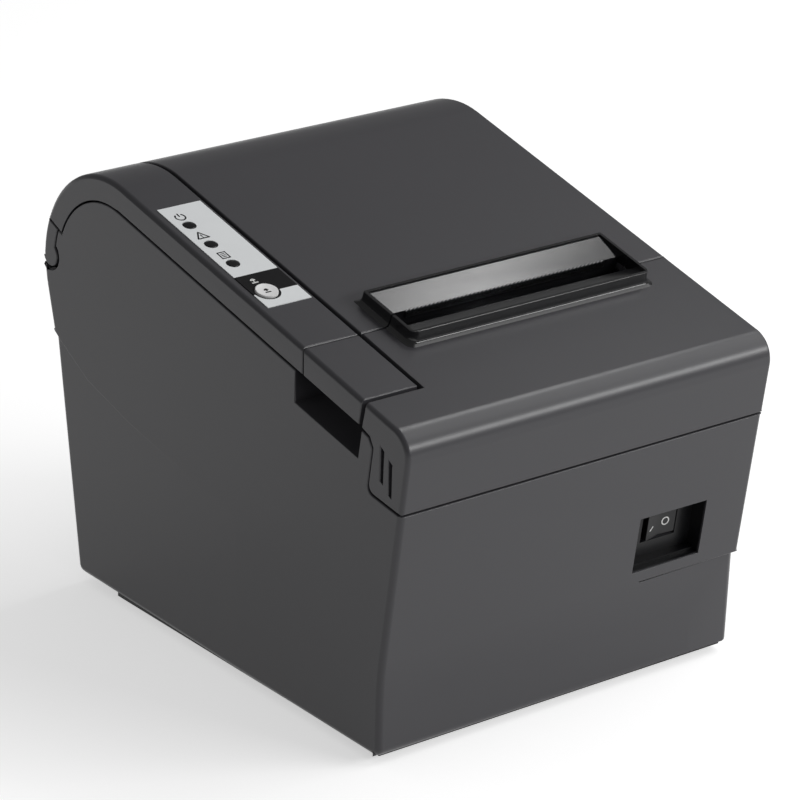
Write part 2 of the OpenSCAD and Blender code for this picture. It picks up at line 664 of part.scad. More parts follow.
post_x = 38;
post_y = [-60, -8];
tray_z = platen_z - 53;
module base_plate() color([0.5, 0.51, 0.53]) {
  difference() {
    block([-inner_x + 0.4, inner_x - 0.4], [-toe_y + wall + 0.6, port_y - 4], [foot_t, skirt_z]);
    for (p = boss_at) translate([p[0], p[1], 0]) cylinder(r = screw_r + 0.1, h = 10, $fn = 32);
  }
  for (p = board_at) translate([p[0], p[1], skirt_z - eps])
    cylinder(r = 3, h = board_z - skirt_z + eps, $fn = 32);
}
foot_x = hw - 18.5;
foot_y = [30.5 - toe_y, heel_y - 46];
foot_at = [[-foot_x, foot_y[0]], [foot_x, foot_y[0]], [-foot_x, foot_y[1]], [foot_x, foot_y[1]]];
module rubber_feet() color([0.1, 0.1, 0.1]) for (p = foot_at) translate([p[0], p[1], 0])
  cylinder(r = foot_r, h = foot_t, $fn = 64);
module case_screws() color(steel) for (p = boss_at) translate([p[0], p[1], 0]) {
  translate([0, 0, foot_t - 1]) cylinder(r = 3, h = 1, $fn = 32);
  translate([0, 0, foot_t - eps]) cylinder(r = screw_r - 0.05, h = 11, $fn = 32);
}
module chassis_posts() color(steel) for (x = [-post_x, post_x]) for (y = post_y)
  translate([paper_x + x, y, skirt_z]) cylinder(r = 3.5, h = tray_z - skirt_z, $fn = 6);
module mechanism_screws() color(steel) for (x = [-post_x, post_x]) for (y = post_y)
  translate([paper_x + x, y, tray_z + side_t]) cylinder(r = 3, h = 1.8, $fn = 32);

// ---- Mechanism frame, head and latch ----

latch_y = -62;
latch_z = platen_z - 8;
latch_r = 2.5;
tray_y = [-64.5, 14];
base_h = blade_h - blade_t - 0.2;
base_t = 2.6;
cable_y = -25;
// The cross plate behind the latch, which backs the head springs
cross_y = [-58, -56];
head_z = [platen_z - 12, platen_z + 3];
// The platen swings forward by this much as the roll cover starts to lift it
head_gap = 0.5;
head_y = platen_y - platen_r - head_gap;
module side_plate2d() difference() {
  polygon([[-68, tray_z], [-28, tray_z], [-28, platen_z + 4], [-46.5, platen_z + 4],
    [-50, top_z(-50) + (base_h - base_t) / cos(top_slope)],
    [-68, top_z(-68) + (base_h - base_t) / cos(top_slope)]]);
  translate([platen_y, platen_z]) circle(r = bush_r + fit, $fn = 64);
  translate([platen_y - bush_r - 0.9, platen_z]) square([2 * bush_r + 1.2, 40]);
  translate([latch_y, latch_z]) circle(r = latch_r + run, $fn = 48);
}
module mechanism_frame() color([0.62, 0.63, 0.65]) {
  x0 = paper_x - plate_d - side_t;
  x1 = paper_x + plate_d;
  across(x0, x0 + side_t) side_plate2d();
  difference() {
    across(x1, x1 + side_t) side_plate2d();
    at(motor_c[0], motor_c[1]) rod(7, x1 - 1, x1 + side_t + 1);
  }
  difference() {
    block([x0, x1 + side_t], tray_y, [tray_z, tray_z + side_t]);
    block([-24, 4], [cable_y - 1.5, cable_y + 1.5], [tray_z - 1, tray_z + side_t + 1]);
  }
  block([x0 + 1, x1 + 1], cross_y, [latch_z - 6.3, latch_z - 4.5]);
  block([paper_x - hook_d + 0.6, paper_x + hook_d - 0.6], cross_y, [latch_z - 5, latch_z + 7.5]);
}
module thermal_head() color([0.82, 0.78, 0.66])
  block([paper_x - half_p - 0.2, paper_x + half_p + 0.2], [head_y - 1.5, head_y], [head_z[0] + 1, head_z[1]]);
module heat_sink() color([0.6, 0.61, 0.63]) {
  block([paper_x - half_p, paper_x + half_p], [head_y - 4, head_y - 1.5], head_z);
  for (x = [-32:8:32])
    block([paper_x + x, paper_x + x + 1.2], [head_y - 6.5, head_y - 4 + eps], [head_z[0], head_z[1] - 2]);
}
module head_springs() color(steel) for (x = [-20, 20])
  translate([paper_x + x, head_y - 4, head_z[0] + 7]) rotate([90, 0, 0]) difference() {
    cylinder(r = 2.4, h = head_y - 4 - cross_y[1], $fn = 32);
    translate([0, 0, -1]) cylinder(r = 1.8, h = 20, $fn = 32);
  }
module hook2d() {
  circle(r = latch_r + 2.5, $fn = 48);
  polygon([[-3, 3], [3, -3], [14, 2.5], [18.6, 8], [18.8, 11], [15, 12.5], [13.4, 8.6], [8, 4.6]]);
}
module latch_shaft() color(steel) {
  at(latch_y, latch_z) rod(latch_r, tail_x - 4, paper_x + plate_d + side_t + 1);
  for (side = [-1, 1]) at(latch_y, latch_z)
    across(paper_x + side * (hook_d + hook_t / 2) - hook_t / 2,
      paper_x + side * (hook_d + hook_t / 2) + hook_t / 2) hook2d();
  at(latch_y, latch_z) across(tail_x - 3, tail_x) {
    circle(r = latch_r + 2, $fn = 48);
    polygon([[-4, -2], [2, 4], [-8.2, 9.2], [-10.6, 8.8], [-11, 7.2]]);
  }
}
module latch_spring() color([0.55, 0.56, 0.58]) at(latch_y, latch_z) difference() {
  rod(3.7, tail_x + 0.1, paper_x - plate_d - side_t - 0.1);
  rod(latch_r + 0.3, -big, big);
}

// ---- Cutter, tilted like the top ----

cutter_r = cutter_teeth * rack_m / 2;
rack_pitch = PI * rack_m;
cutter_s = -66;
module cutter_frame() color([0.4, 0.41, 0.43]) on_top() difference() {
  union() {
    block([paper_x - plate_d - side_t, paper_x + plate_d + side_t], [-86, -56], [base_h - base_t, base_h]);
    block([paper_x - half_p, paper_x + half_p], [-57, -52.6], [base_h - base_t, base_h]);
    for (side = [-1, 1]) block([paper_x + side * 43.4 - 1.6, paper_x + side * 43.4 + 1.6], [-86, -56],
      [base_h - eps, blade_h + 0.8]);
  }
  translate([paper_x, cutter_s, -30]) cylinder(r = 2 + run, h = 30, $fn = 48);
}
module moving_blade() color([0.84, 0.85, 0.87]) on_top() translate([0, 0, blade_h - blade_t])
  linear_extrude(blade_t) difference() {
    polygon([[paper_x - half_p - 1, -84], [paper_x + half_p + 1, -84], [paper_x + half_p + 1, -52],
      [paper_x, -53.6], [paper_x - half_p - 1, -52]]);
    translate([paper_x, cutter_s]) polygon(concat(
      [[-cutter_r - 2, 3 * rack_pitch], [-cutter_r - 2, -6 * rack_pitch],
        [cutter_r + 1.1 * rack_m, -6 * rack_pitch]],
      [for (i = [-6:2]) for (k = [[-0.30, 1.1], [-0.11, -0.75], [0.11, -0.75], [0.30, 1.1]])
        [cutter_r + k[1] * rack_m, (i + 0.5 + k[0]) * rack_pitch]],
      [[cutter_r + 1.1 * rack_m, 3 * rack_pitch]]));
  }
module cutter_knob() color([0.2, 0.45, 0.3]) on_top() translate([paper_x, cutter_s, 0]) {
  translate([0, 0, blade_h - blade_t - 0.1]) linear_extrude(blade_t + 0.5) gear2d(cutter_teeth, rack_m, 0);
  translate([0, 0, base_h - base_t - 0.2]) cylinder(r = 2, h = base_t + 1, $fn = 48);
  translate([0, 0, blade_h + 0.35]) difference() {
    cylinder(r = 9, h = 3.6, $fn = 64);
    for (i = [0:23]) rotate(i * 15) translate([9.2, 0, -1]) cylinder(r = 0.6, h = 6, $fn = 16);
  }
}
module cutter_motor() color([0.5, 0.51, 0.53]) on_top() {
  block([paper_x - 22, paper_x - 4], [-76, -59], [base_h - base_t - 4.5, base_h - base_t]);
  block([paper_x - 22, paper_x - 6], [-85, -75], [base_h - base_t - 4, base_h - base_t]);
  translate([0, -79.5, base_h - base_t - 9]) rod(7, paper_x - 30, paper_x + 8);
}

// ---- Power switch ----

rocker_tilt = 5;
pivot_d = switch_depth + 4;
module switch_housing() color(dark) on_front() difference() {
  block([switch_x - rocker_w / 2 - 2, switch_x + rocker_w / 2 + 2],
    [switch_depth + pocket_t, switch_depth + 17],
    [rocker_z - rocker_h / 2 - 2, rocker_z + rocker_h / 2 + 2]);
  block([switch_x - rocker_w / 2 - 0.5, switch_x + rocker_w / 2 + 0.5], [0, switch_depth + 9],
    [rocker_z - rocker_h / 2 - fit, rocker_z + rocker_h / 2 + fit]);
  translate([switch_x, pivot_d, rocker_z - rocker_h / 2 - 1.5])
    cylinder(r = 1 + run, h = rocker_h + 3, $fn = 32);
}
module switch_rocker() color([0.16, 0.16, 0.17]) on_front()
  translate([switch_x, pivot_d, rocker_z - rocker_h / 2]) rotate([0, 0, rocker_tilt]) {
    linear_extrude(rocker_h) translate([0, -pivot_d]) polygon([[-rocker_w / 2, 5], [0, 6], [rocker_w / 2, 5],
      [rocker_w / 2 - 0.5, 8.5], [3, 12], [-3, 12], [-rocker_w / 2 + 0.5, 8.5]]);
    translate([0, 0, -1.3]) cylinder(r = 1, h = rocker_h + 2.6, $fn = 32);
  }

// ---- Paper well and its sensors ----

well_x = [paper_x - half_p - 1, paper_x + half_p + 1];
well_top = [well_c[1] + 18, well_c[1] + 6];
module well2d(r) {
  translate(well_c) circle(r = r, $fn = 128);
  polygon([[well_c[0] - r, well_c[1]], [well_c[0] + r, well_c[1]], [well_c[0] + r, well_top[1]],
    [well_c[0] - r, well_top[0]]]);
}
nub_y = 46;
nub_z = well_c[1] - 23;
lever_x = well_x[0] - well_t - 3;
pivot_y = nub_y - 16;
sensor_z = well_c[1] + 8;
module paper_well() color([0.2, 0.2, 0.21]) difference() {
  union() {
    across(well_x[0] - well_t, well_x[1] + well_t) well2d(well_r + well_t);
    block([lever_x - 2, well_x[0] - 1], [pivot_y - 2, pivot_y + 2], [nub_z - 5, nub_z - 3.3]);
    translate([lever_x, pivot_y, nub_z - 4]) cylinder(r = 1, h = 8, $fn = 32);
    for (x = [well_x[0] + 6, well_x[1] - 9]) across(x, x + 3) {
      polygon([[2, tray_z + side_t], [13.5, tray_z + side_t], [17, well_c[1] - 32], [2, well_c[1] - 14]]);
      polygon([[port_y + 1, port_h + pocket_t], [port_y + 14, port_h + pocket_t],
        [port_y + 14, well_c[1] - 30], [port_y + 1, well_c[1] - 40]]);
    }
  }
  across(well_x[0], well_x[1]) well2d(well_r);
  across(well_x[0] - 5, well_x[1] + 5) polygon([[-60, well_top[0] - 1], [well_c[0] - well_r, well_top[0] - 1],
    [well_c[0] + well_r + 9, well_top[1] - 0.5], [200, 200], [-60, 200]]);
  block([well_x[0] - well_t - 0.6, well_x[0] + 1], [nub_y - 2.5, nub_y + 2.5], [nub_z - 4, nub_z + 4]);
  block([paper_x - 4, paper_x + 4], [well_c[0] - well_r - 5, well_c[0] - well_r + 5],
      [sensor_z - 3, sensor_z + 3]);
}
module near_end_lever() color([0.9, 0.9, 0.88]) difference() {
  union() {
    block([lever_x - 0.75, lever_x + 0.75], [pivot_y, nub_y + 2], [nub_z - 3, nub_z + 3]);
    block([lever_x, well_x[0] + 1.8], [nub_y - 1.2, nub_y + 1.2], [nub_z - 2.5, nub_z + 2.5]);
    translate([lever_x, pivot_y, nub_z - 3]) cylinder(r = 2.2, h = 6, $fn = 32);
  }
  translate([lever_x, pivot_y, nub_z - 4]) cylinder(r = 1 + run, h = 8, $fn = 32);
}
module paper_end_sensor() color(dark)
  block([paper_x - 6, paper_x + 6], [well_c[0] - well_r - well_t - 5, well_c[0] - well_r - well_t],
    [sensor_z - 6, sensor_z + 5]);
module cover_sensor() color(dark) {
  x = paper_x - plate_d - side_t;
  block([x - 5, x], [-36, -29], [platen_z - 11, platen_z]);
  block([x - 4, x - 1.5], [-33.5, -31.5], [platen_z - eps, platen_z + 3]);
}

// ---- Boards and connectors ----

board_z = 12;
board_x = hw - 15.5;
board_y = [-20, 50];
board_at = [for (x = [5 - board_x, board_x - 5]) for (y = [board_y[0] + 4, board_y[1] - 4]) [x, y]];
module main_board() color([0.1, 0.35, 0.2]) difference() {
  union() {
    block([-board_x, board_x], board_y, [board_z, board_z + board_t]);
    block([-40, -22], [10, 28], [board_z + board_t - eps, board_z + 3.6]);
    block([20, 50], [30, 44], [board_z + board_t - eps, board_z + 12]);
    for (x = [18.5, 7.5]) translate([well_x[0] - x, 38, board_z]) cylinder(r = 5, h = 22, $fn = 48);
    block([-22, 0], [-19, -14], [board_z + board_t - eps, board_z + 5]);
  }
  for (x = [-post_x, post_x]) translate([paper_x + x, post_y[1], board_z - 1])
    cylinder(r = 4.2, h = 9, $fn = 32);
}
module interface_board() color([0.1, 0.35, 0.2])
  block([4 - port_w / 2, port_w / 2 - 4], [port_y - 8.5, port_y - 8.5 + board_t], [skirt_z, port_h - 2]);
port_z = (skirt_z + port_h) / 2 + 2;
// Serial, data and drawer sockets: x, z, width, height
ports = [[-30, port_z, 54, 12.5], [12, port_z, 12.4, 11.2], [30, port_z - 1, 13, 13]];
jack_x = 47;
jack_r = 6.5;
module interface_plate() color([0.55, 0.56, 0.58]) difference() {
  block([-port_w / 2 - pocket_t + 0.2, port_w / 2 + pocket_t - 0.2], [port_y - 1.5, port_y],
    [skirt_z, port_h + pocket_t]);
  for (q = ports) block([q[0] - q[2] / 2 - fit, q[0] + q[2] / 2 + fit], [port_y - 5, port_y + 5],
    [q[1] - q[3] / 2 - fit, q[1] + q[3] / 2 + fit]);
  translate([jack_x, port_y + 5, port_z]) rotate([90, 0, 0]) cylinder(r = jack_r + 0.3, h = 10, $fn = 64);
}
module port_block(i, depth) difference() {
  block([ports[i][0] - ports[i][2] / 2, ports[i][0] + ports[i][2] / 2],
    [port_y - 8.5 + board_t, port_y + depth],
    [ports[i][1] - ports[i][3] / 2, ports[i][1] + ports[i][3] / 2]);
  children();
}
module serial_connector() color([0.7, 0.71, 0.73]) {
  q = ports[0];
  port_block(0, 0.8);
  translate([q[0], port_y + 6, q[1]]) rotate([90, 0, 0]) linear_extrude(6) difference() {
    polygon([[-20, -4], [20, -4], [21.5, 4], [-21.5, 4]]);
    polygon([[-19.2, -3.4], [19.2, -3.4], [20.6, 3.4], [-20.6, 3.4]]);
  }
  for (side = [-1, 1]) translate([q[0] + side * 23.6, port_y + 5, q[1]]) rotate([90, 0, 0])
    cylinder(r = 2.6, h = 5, $fn = 6);
}
module usb_port() color([0.7, 0.71, 0.73]) {
  q = ports[1];
  port_block(1, 2) block([q[0] - 4.4, q[0] + 4.4], [port_y - 5, port_y + 5], [q[1] - 4, q[1] + 4]);
  block([q[0] - 2.8, q[0] + 2.8], [port_y - 6, port_y + 1], [q[1] - 1.6, q[1] + 1.6]);
}
module drawer_jack() color([0.15, 0.15, 0.16]) port_block(2, 2)
  block([ports[2][0] - 4.9, ports[2][0] + 4.9], [port_y - 5, port_y + 5],
    [ports[2][1] - 4.5, ports[2][1] + 3.4]);
module power_inlet() color([0.12, 0.12, 0.13]) translate([jack_x, 0, port_z]) {
  difference() {
    translate([0, port_y + 2, 0]) rotate([90, 0, 0]) cylinder(r = jack_r, h = 10.5 - board_t, $fn = 64);
    translate([0, port_y + 3, 0]) rotate([90, 0, 0]) cylinder(r = 4.8, h = 7, $fn = 64);
  }
  translate([0, port_y + 1, 0]) rotate([90, 0, 0]) cylinder(r = 1.3, h = 7, $fn = 32);
}
module flat_cable() color([0.88, 0.88, 0.85]) across(-22, 0)
  polygon([[-17, board_z + 5], [-17, board_z + 5.3], [cable_y + 0.3, 24],
    [cable_y + 0.3, head_z[0] - 5], [head_y - 0.7, head_z[0] + 1],
    [head_y - 1.2, head_z[0] + 1], [cable_y, head_z[0] - 5.2], [cable_y, 23.8]]);

main_case();
base_plate();
rubber_feet();
chassis_posts();
case_screws();
operation_panel();
panel_label();
status_lenses();
feed_button();
panel_board();
tact_switch();
release_tab();
tab_pin();
roll_cover();
hinge_pins();
rear_exit_guide();
tear_bar();
platen_holder();
platen_bushes();
platen_shaft();
platen_rubber();
platen_gear();
fixed_blade();
front_cover();
front_exit_guide();
mechanism_frame();
thermal_head();
heat_sink();
head_springs();
feed_motor();
motor_pinion();
idler_gear();
idler_pin();
latch_shaft();
latch_spring();
cutter_frame();
moving_blade();
cutter_knob();
cutter_motor();
switch_housing();
switch_rocker();
paper_well();
near_end_lever();
paper_end_sensor();
cover_sensor();
main_board();
interface_plate();
interface_board();
serial_connector();
usb_port();
drawer_jack();
power_inlet();
flat_cable();
mechanism_screws();
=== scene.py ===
# %% [markdown]
# # A receipt printer, dressed piece by piece
#
# The printer's construction already exists: every casing, shaft and board is a imported CAD node, in
# metres, in its real place. This lesson gives those nodes their finish, replaces the ones whose
# real shape has soft edges or wound wire with pieces modelled here, and adds the printed signs and
# a near-black lining in the switch recess, partly painted shade. The frame is loaded first, because
# everything else is measured against it.

# %% The frame
import math

import bpy
from mathutils import Matrix, Vector
from mathutils.bvhtree import BVHTree


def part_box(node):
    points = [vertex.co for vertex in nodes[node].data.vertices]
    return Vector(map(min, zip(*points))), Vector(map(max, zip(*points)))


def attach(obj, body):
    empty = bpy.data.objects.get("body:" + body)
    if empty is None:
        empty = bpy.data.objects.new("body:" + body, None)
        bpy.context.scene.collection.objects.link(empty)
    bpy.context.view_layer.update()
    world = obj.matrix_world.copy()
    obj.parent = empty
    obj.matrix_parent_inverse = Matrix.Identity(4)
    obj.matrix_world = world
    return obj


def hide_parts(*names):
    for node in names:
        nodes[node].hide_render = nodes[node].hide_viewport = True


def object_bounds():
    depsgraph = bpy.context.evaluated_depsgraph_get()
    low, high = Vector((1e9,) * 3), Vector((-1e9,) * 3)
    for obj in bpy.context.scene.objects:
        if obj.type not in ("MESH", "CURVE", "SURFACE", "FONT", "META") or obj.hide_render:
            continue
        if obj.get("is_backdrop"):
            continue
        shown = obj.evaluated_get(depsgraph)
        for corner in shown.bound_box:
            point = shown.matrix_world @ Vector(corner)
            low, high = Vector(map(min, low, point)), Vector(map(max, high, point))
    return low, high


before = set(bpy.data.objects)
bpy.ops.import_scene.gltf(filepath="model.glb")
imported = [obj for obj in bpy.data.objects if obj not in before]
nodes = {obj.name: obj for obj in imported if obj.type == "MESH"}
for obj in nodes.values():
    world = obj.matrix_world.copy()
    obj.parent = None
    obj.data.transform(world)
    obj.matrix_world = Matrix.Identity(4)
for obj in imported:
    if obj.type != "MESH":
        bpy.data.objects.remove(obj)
cad_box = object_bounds()

# %% [markdown]
# ## Two working planes
#
# Most small parts sit either on the sloping top or on the front wall. Both planes are tangent to
# two of the circles of the side outline, so their tilt follows from the circles' middles and
# radii. A part is modelled flat, with its foot at height zero, and then seated on its plane. That
# is easier than modelling on a slope, where every measure would need a sine.

# %% The sloping top and the front wall
MM = 0.001
# Circles of the side outline, in y, z and radius; a negative radius bends inwards
TOE, HEEL = (-83.5, 7.0, 3.0), (77.0, 7.0, 3.0)
NECK, HUMP = (104.144, 83.975, -12.0), (60.0, 110.5, 37.5)
BROW, CHIN = (-88.5, 104.5, 9.0), (-186.5, 21.0, -100.0)
RING = (TOE, HEEL, NECK, HUMP, BROW, CHIN)


def tangent_angle(a, b):
    """The angle of the outward normal of the line that touches two circles."""
    along = math.atan2(b[1] - a[1], b[0] - a[0])
    return along - math.acos((a[2] - b[2]) / math.dist(a[:2], b[:2]))


def on_circle(circle, angle):
    return (circle[0] + circle[2] * math.cos(angle), circle[1] + circle[2] * math.sin(angle))


def working_plane(angle, circle, tilt, at_y=None):
    """A matrix from flat metres to the object's metres."""
    y, z = on_circle(circle, angle)
    if at_y is not None:
        z += math.tan(tilt) * (at_y - y)
        y = at_y
    return Matrix.Translation((0, y * MM, z * MM)) @ Matrix.Rotation(tilt, 4, "X")


top_angle = tangent_angle(HUMP, BROW) % math.tau
slope = top_angle - math.pi / 2
TOP = working_plane(top_angle, HUMP, slope, at_y=0.0)
front_angle = tangent_angle(BROW, CHIN) % math.tau
FRONT = working_plane(front_angle, BROW, front_angle - math.pi)
print("top slopes by", round(math.degrees(slope), 2), "degrees")
print("front leans by", round(math.degrees(front_angle - math.pi), 2), "degrees")

# %% [markdown]
# ## The modelling bench
#
# Blender's operators act on whatever is selected, and the loaded nodes are all selected. So every
# step starts by picking one piece, and edit mode starts from faces, edges or points that a test on
# their place or normal picks out. It is the same as clicking them by hand, but it gives the same
# result every time.

# %% Picking and editing
def pick(*pieces):
    """Only these pieces are selected, and the first is active."""
    if bpy.context.mode != "OBJECT":
        bpy.ops.object.mode_set(mode="OBJECT")
    bpy.ops.object.select_all(action="DESELECT")
    for piece in pieces:
        piece.select_set(True)
    bpy.context.view_layer.objects.active = pieces[0]
    return pieces[0]


def edit(piece, kind, test):
    """Opens edit mode with the parts for which test(place, normal) holds."""
    pick(piece)
    mesh = piece.data
    bpy.context.tool_settings.mesh_select_mode = [kind == k for k in ("VERT", "EDGE", "FACE")]
    for group in (mesh.vertices, mesh.edges, mesh.polygons):
        group.foreach_set("select", [False] * len(group))
    if kind == "VERT":
        for v in mesh.vertices:
            v.select = test(v.co, v.normal)
    elif kind == "EDGE":
        for e in mesh.edges:
            a, b = (mesh.vertices[i].co for i in e.vertices)
            e.select = test(a, b)
    else:
        for f in mesh.polygons:
            f.select = test(f.center, f.normal)
    bpy.ops.object.mode_set(mode="EDIT")


def close_edit():
    bpy.ops.object.mode_set(mode="OBJECT")


def fresh():
    """Nothing is selected, so that the next primitive starts alone."""
    if bpy.context.mode != "OBJECT":
        bpy.ops.object.mode_set(mode="OBJECT")
    bpy.ops.object.select_all(action="DESELECT")


fresh()
print("selected:", len(bpy.context.selected_objects))

# %% [markdown]
# ### Boxes and cylinders
#
# Nearly every small part starts as one of these two. A box is given by its ends on each axis, as
# on a drawing, and a cylinder by its foot. Both keep their place in the mesh, so the object stays
# at the origin.

# %% Two starting shapes
def named(name):
    """Names the piece that was just added, and drops its place and scale into its mesh."""
    piece = bpy.context.object
    piece.name = piece.data.name = name
    bpy.ops.object.transform_apply(location=True, rotation=True, scale=True)
    return piece


def block(name, x, y, z):
    """A box between two values on each axis, in millimetres."""
    fresh()
    middle = [(a + b) / 2 * MM for a, b in (x, y, z)]
    bpy.ops.mesh.primitive_cube_add(size=1, location=middle)
    bpy.context.object.scale = [(b - a) * MM for a, b in (x, y, z)]
    return named(name)


def disc(name, radius, depth, place, sides=48):
    """A standing cylinder in millimetres whose lower end is at place."""
    fresh()
    x, y, foot = place
    bpy.ops.mesh.primitive_cylinder_add(vertices=sides, radius=radius * MM, depth=depth * MM,
                                        location=(x * MM, y * MM, (foot + depth / 2) * MM))
    return named(name)


print("starting shapes:", block.__name__, "and", disc.__name__)

# %% [markdown]
# ### Changing, seating and joining
#
# A modifier is applied as soon as it is set, because a finished piece is a plain mesh. Seating
# moves the points of a piece onto its plane, and joining makes one piece of several.

# %% Modifiers, planes and joins
def modify(piece, kind, **settings):
    """Adds a modifier, sets it and applies it."""
    pick(piece)
    bpy.ops.object.modifier_add(type=kind)
    step = piece.modifiers[-1]
    for key, value in settings.items():
        setattr(step, key, value)
    bpy.ops.object.modifier_apply(modifier=step.name)
    return piece


def seat(piece, plane):
    """Puts a piece that was modelled flat on its plane, with its place in its mesh."""
    pick(piece)
    piece.matrix_world = plane @ piece.matrix_world
    bpy.ops.object.transform_apply(location=True, rotation=True, scale=True)
    return piece


def joined(name, *pieces):
    """One piece made of several."""
    pick(*pieces)
    bpy.ops.object.join()
    piece = bpy.context.object
    piece.name = piece.data.name = name
    return piece


print("bench ready for", len(nodes), "nodes")

# %% [markdown]
# ### Handing a piece over
#
# A finished piece is shaded, gets its material, and is told which moving body it rides on. Where
# it stands for a CAD node, that node is then hidden. Weighted normals keep a large flat face flat
# right up to its rounded edge, where plain smooth shading would leave a grey smear.

# %% Shading and finishing
FACE_WEIGHT = 60


def smooth(piece, degrees=30):
    """Rounds shade smoothly while flat faces stay flat, as on a moulded part."""
    pick(piece)
    bpy.ops.object.shade_smooth_by_angle(angle=math.radians(degrees))
    return modify(piece, "WEIGHTED_NORMAL", keep_sharp=True, weight=FACE_WEIGHT)


def told(piece):
    """Prints what a finished piece is."""
    size = [round(v / MM, 1) for v in piece.dimensions]
    print(f"{piece.name}: {len(piece.data.polygons)} faces, {size} mm")
    return piece


def finish_piece(piece, finish, body, slot, *replaced):
    """Gives a piece its material, its moving body, and the nodes that it stands for; slot is not
    used.
    """
    piece.data.materials.clear()
    piece.data.materials.append(finish)
    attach(piece, body)
    if replaced:
        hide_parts(*replaced)
    return told(piece)


# %% [markdown]
# ## Shells with soft edges
#
# An injection moulded casing never has a knife edge: the mould rounds each corner by a fraction of
# a millimetre, and the long outer corners by one to two. Those rounds catch the light as thin
# bright lines, which is what makes plastic read as plastic. The CAD solids are sharp, so each
# casing piece is a welded copy of its node, and a bevel whose width is painted on the edges rounds
# it. Rounding by weight gives one pass with several radii, and leaves the inside of the shell
# alone.

# %% Welding a copy
CASING = ("main_case", "operation_panel", "release_tab", "roll_cover", "front_cover")
WELD = 4e-6
FLAT = math.radians(0.1)


def welded(node, name):
    """A copy of a node's mesh with its doubles merged and its flat faces whole."""
    piece = bpy.data.objects.new(name, nodes[node].data.copy())
    piece.data.name = name
    bpy.context.scene.collection.objects.link(piece)
    edit(piece, "VERT", lambda place, normal: True)
    bpy.ops.mesh.remove_doubles(threshold=WELD)
    bpy.ops.mesh.dissolve_limited(angle_limit=FLAT, use_dissolve_boundaries=False)
    close_edit()
    return piece


def tree_of(obj):
    mesh = obj.data
    return BVHTree.FromPolygons([v.co for v in mesh.vertices],
                                [tuple(f.vertices) for f in mesh.polygons])


casing_trees = [tree_of(nodes[n]) for n in CASING]
print("casing parts:", len(CASING))

# %% [markdown]
# ### Outer corners
#
# A face is outside when a ray along its normal meets no other casing wall. An edge is an outer
# corner when its two faces turn away from each other by more than a set angle.

# %% Finding outer corners
SKIN_STEP = 0.2 * MM


def sees_outside(place, normal):
    """Whether a face looks out of the casing, and not at another wall."""
    start = place + normal * SKIN_STEP
    return all(tree.ray_cast(start, normal)[0] is None for tree in casing_trees)


def edge_faces(mesh):
    """Each edge's key with the faces on its two sides."""
    found = {}
    for face in mesh.polygons:
        for key in face.edge_keys:
            found.setdefault(key, []).append(face)
    return found


def convex_angle(one, two, edge_point):
    """The angle between two faces, positive where they meet in an outer corner."""
    angle = one.normal.angle(two.normal, 0.0)
    outward = (one.normal + two.normal)
    inside = (one.center + two.center) / 2 - edge_point
    return angle if outward.dot(inside) < 0 else -angle


counts = {name: len(edge_faces(nodes[name].data)) for name in CASING}
print("edges before welding:", counts)

# %% [markdown]
# ### Rounding by weight
#
# Only an outer corner gets a weight, and the widest radius counts as a weight of one. Edge slide
# is off, because along a curved edge it would pull the round's ends out of line.

# %% The weighted bevel
CORNER_STEPS = 3
SHARP = math.radians(25)


def round_edges(piece, radius_of):
    """Bevels each outer corner by radius_of(a, b, one, two), in metres."""
    mesh = piece.data
    faces = edge_faces(mesh)
    radii = []
    for edge in mesh.edges:
        pair = faces.get(tuple(sorted(edge.vertices)), [])
        a, b = (mesh.vertices[i].co for i in edge.vertices)
        radius = 0.0
        if len(pair) == 2 and convex_angle(*pair, (a + b) / 2) > SHARP:
            radius = radius_of(a, b, *pair)
        radii.append(radius)
    widest = max(radii)
    weights = mesh.attributes.new("bevel_weight_edge", "FLOAT", "EDGE")
    weights.data.foreach_set("value", [r / widest for r in radii])
    modify(piece, "BEVEL", width=widest, segments=CORNER_STEPS, limit_method="WEIGHT",
           use_clamp_overlap=False, miter_outer="MITER_SHARP", loop_slide=False)
    print(f"{piece.name}: {sum(r > 0 for r in radii)} edges rounded, up to {widest / MM:.1f} mm")
    return piece


print("rounded corners: sharper than", round(math.degrees(SHARP)), "degrees")

# %% [markdown]
# ### The side outline
#
# Seen from the side, the casing is a ring of six circles and their common tangents. The distance
# to that outline tells whether a face belongs to the skin that runs from the front over the top to
# the back.

# %% The outline and the distance to it
ARC_STEP = 4


def side_outline():
    """The side outline as points in y and z, in millimetres."""
    points = []
    for i, circle in enumerate(RING):
        start = tangent_angle(RING[i - 1], circle)
        end = tangent_angle(circle, RING[(i + 1) % len(RING)])
        turn = (end - start + math.pi) % math.tau - math.pi
        count = max(1, math.ceil(abs(math.degrees(turn)) / ARC_STEP))
        points += [on_circle(circle, start + turn * k / count) for k in range(count + 1)]
    return [Vector(p) for p in points]


outline = side_outline()


def off_outline(place):
    """How far a point is from the side outline, in millimetres."""
    point = Vector((place.y, place.z)) / MM
    nearest = []
    for a, b in zip(outline, outline[1:] + outline[:1]):
        along = b - a
        share = min(1, max(0, (point - a).dot(along) / max(along.length_squared, 1e-9)))
        nearest.append((point - a - along * share).length)
    return min(nearest)


print("points on the outline:", len(outline))

# %% [markdown]
# ### How round each corner is
#
# Where the skin turns over to a side wall the round is wide, and around a gap or an opening it is
# narrow. Low on the case it differs. Below the lip at the right the side wall is set back, and its
# round is a little narrower. The front wall slants off the outline there, so a face may lie
# further from it and still be skin. The lower edge of that lip is rounded a little more than a
# gap.

# %% The radii, in millimetres
SIDE_R, CASE_SIDE_R, SEAM_R = 1.5, 2.0, 0.4
LIP_Z, LIP_LOW, LIP_R = 36, 30, 0.6
SET_BACK_X, SET_BACK_R = (71, 72), 1.3
SKIN_REACH, LOW_REACH = 0.1, 0.6
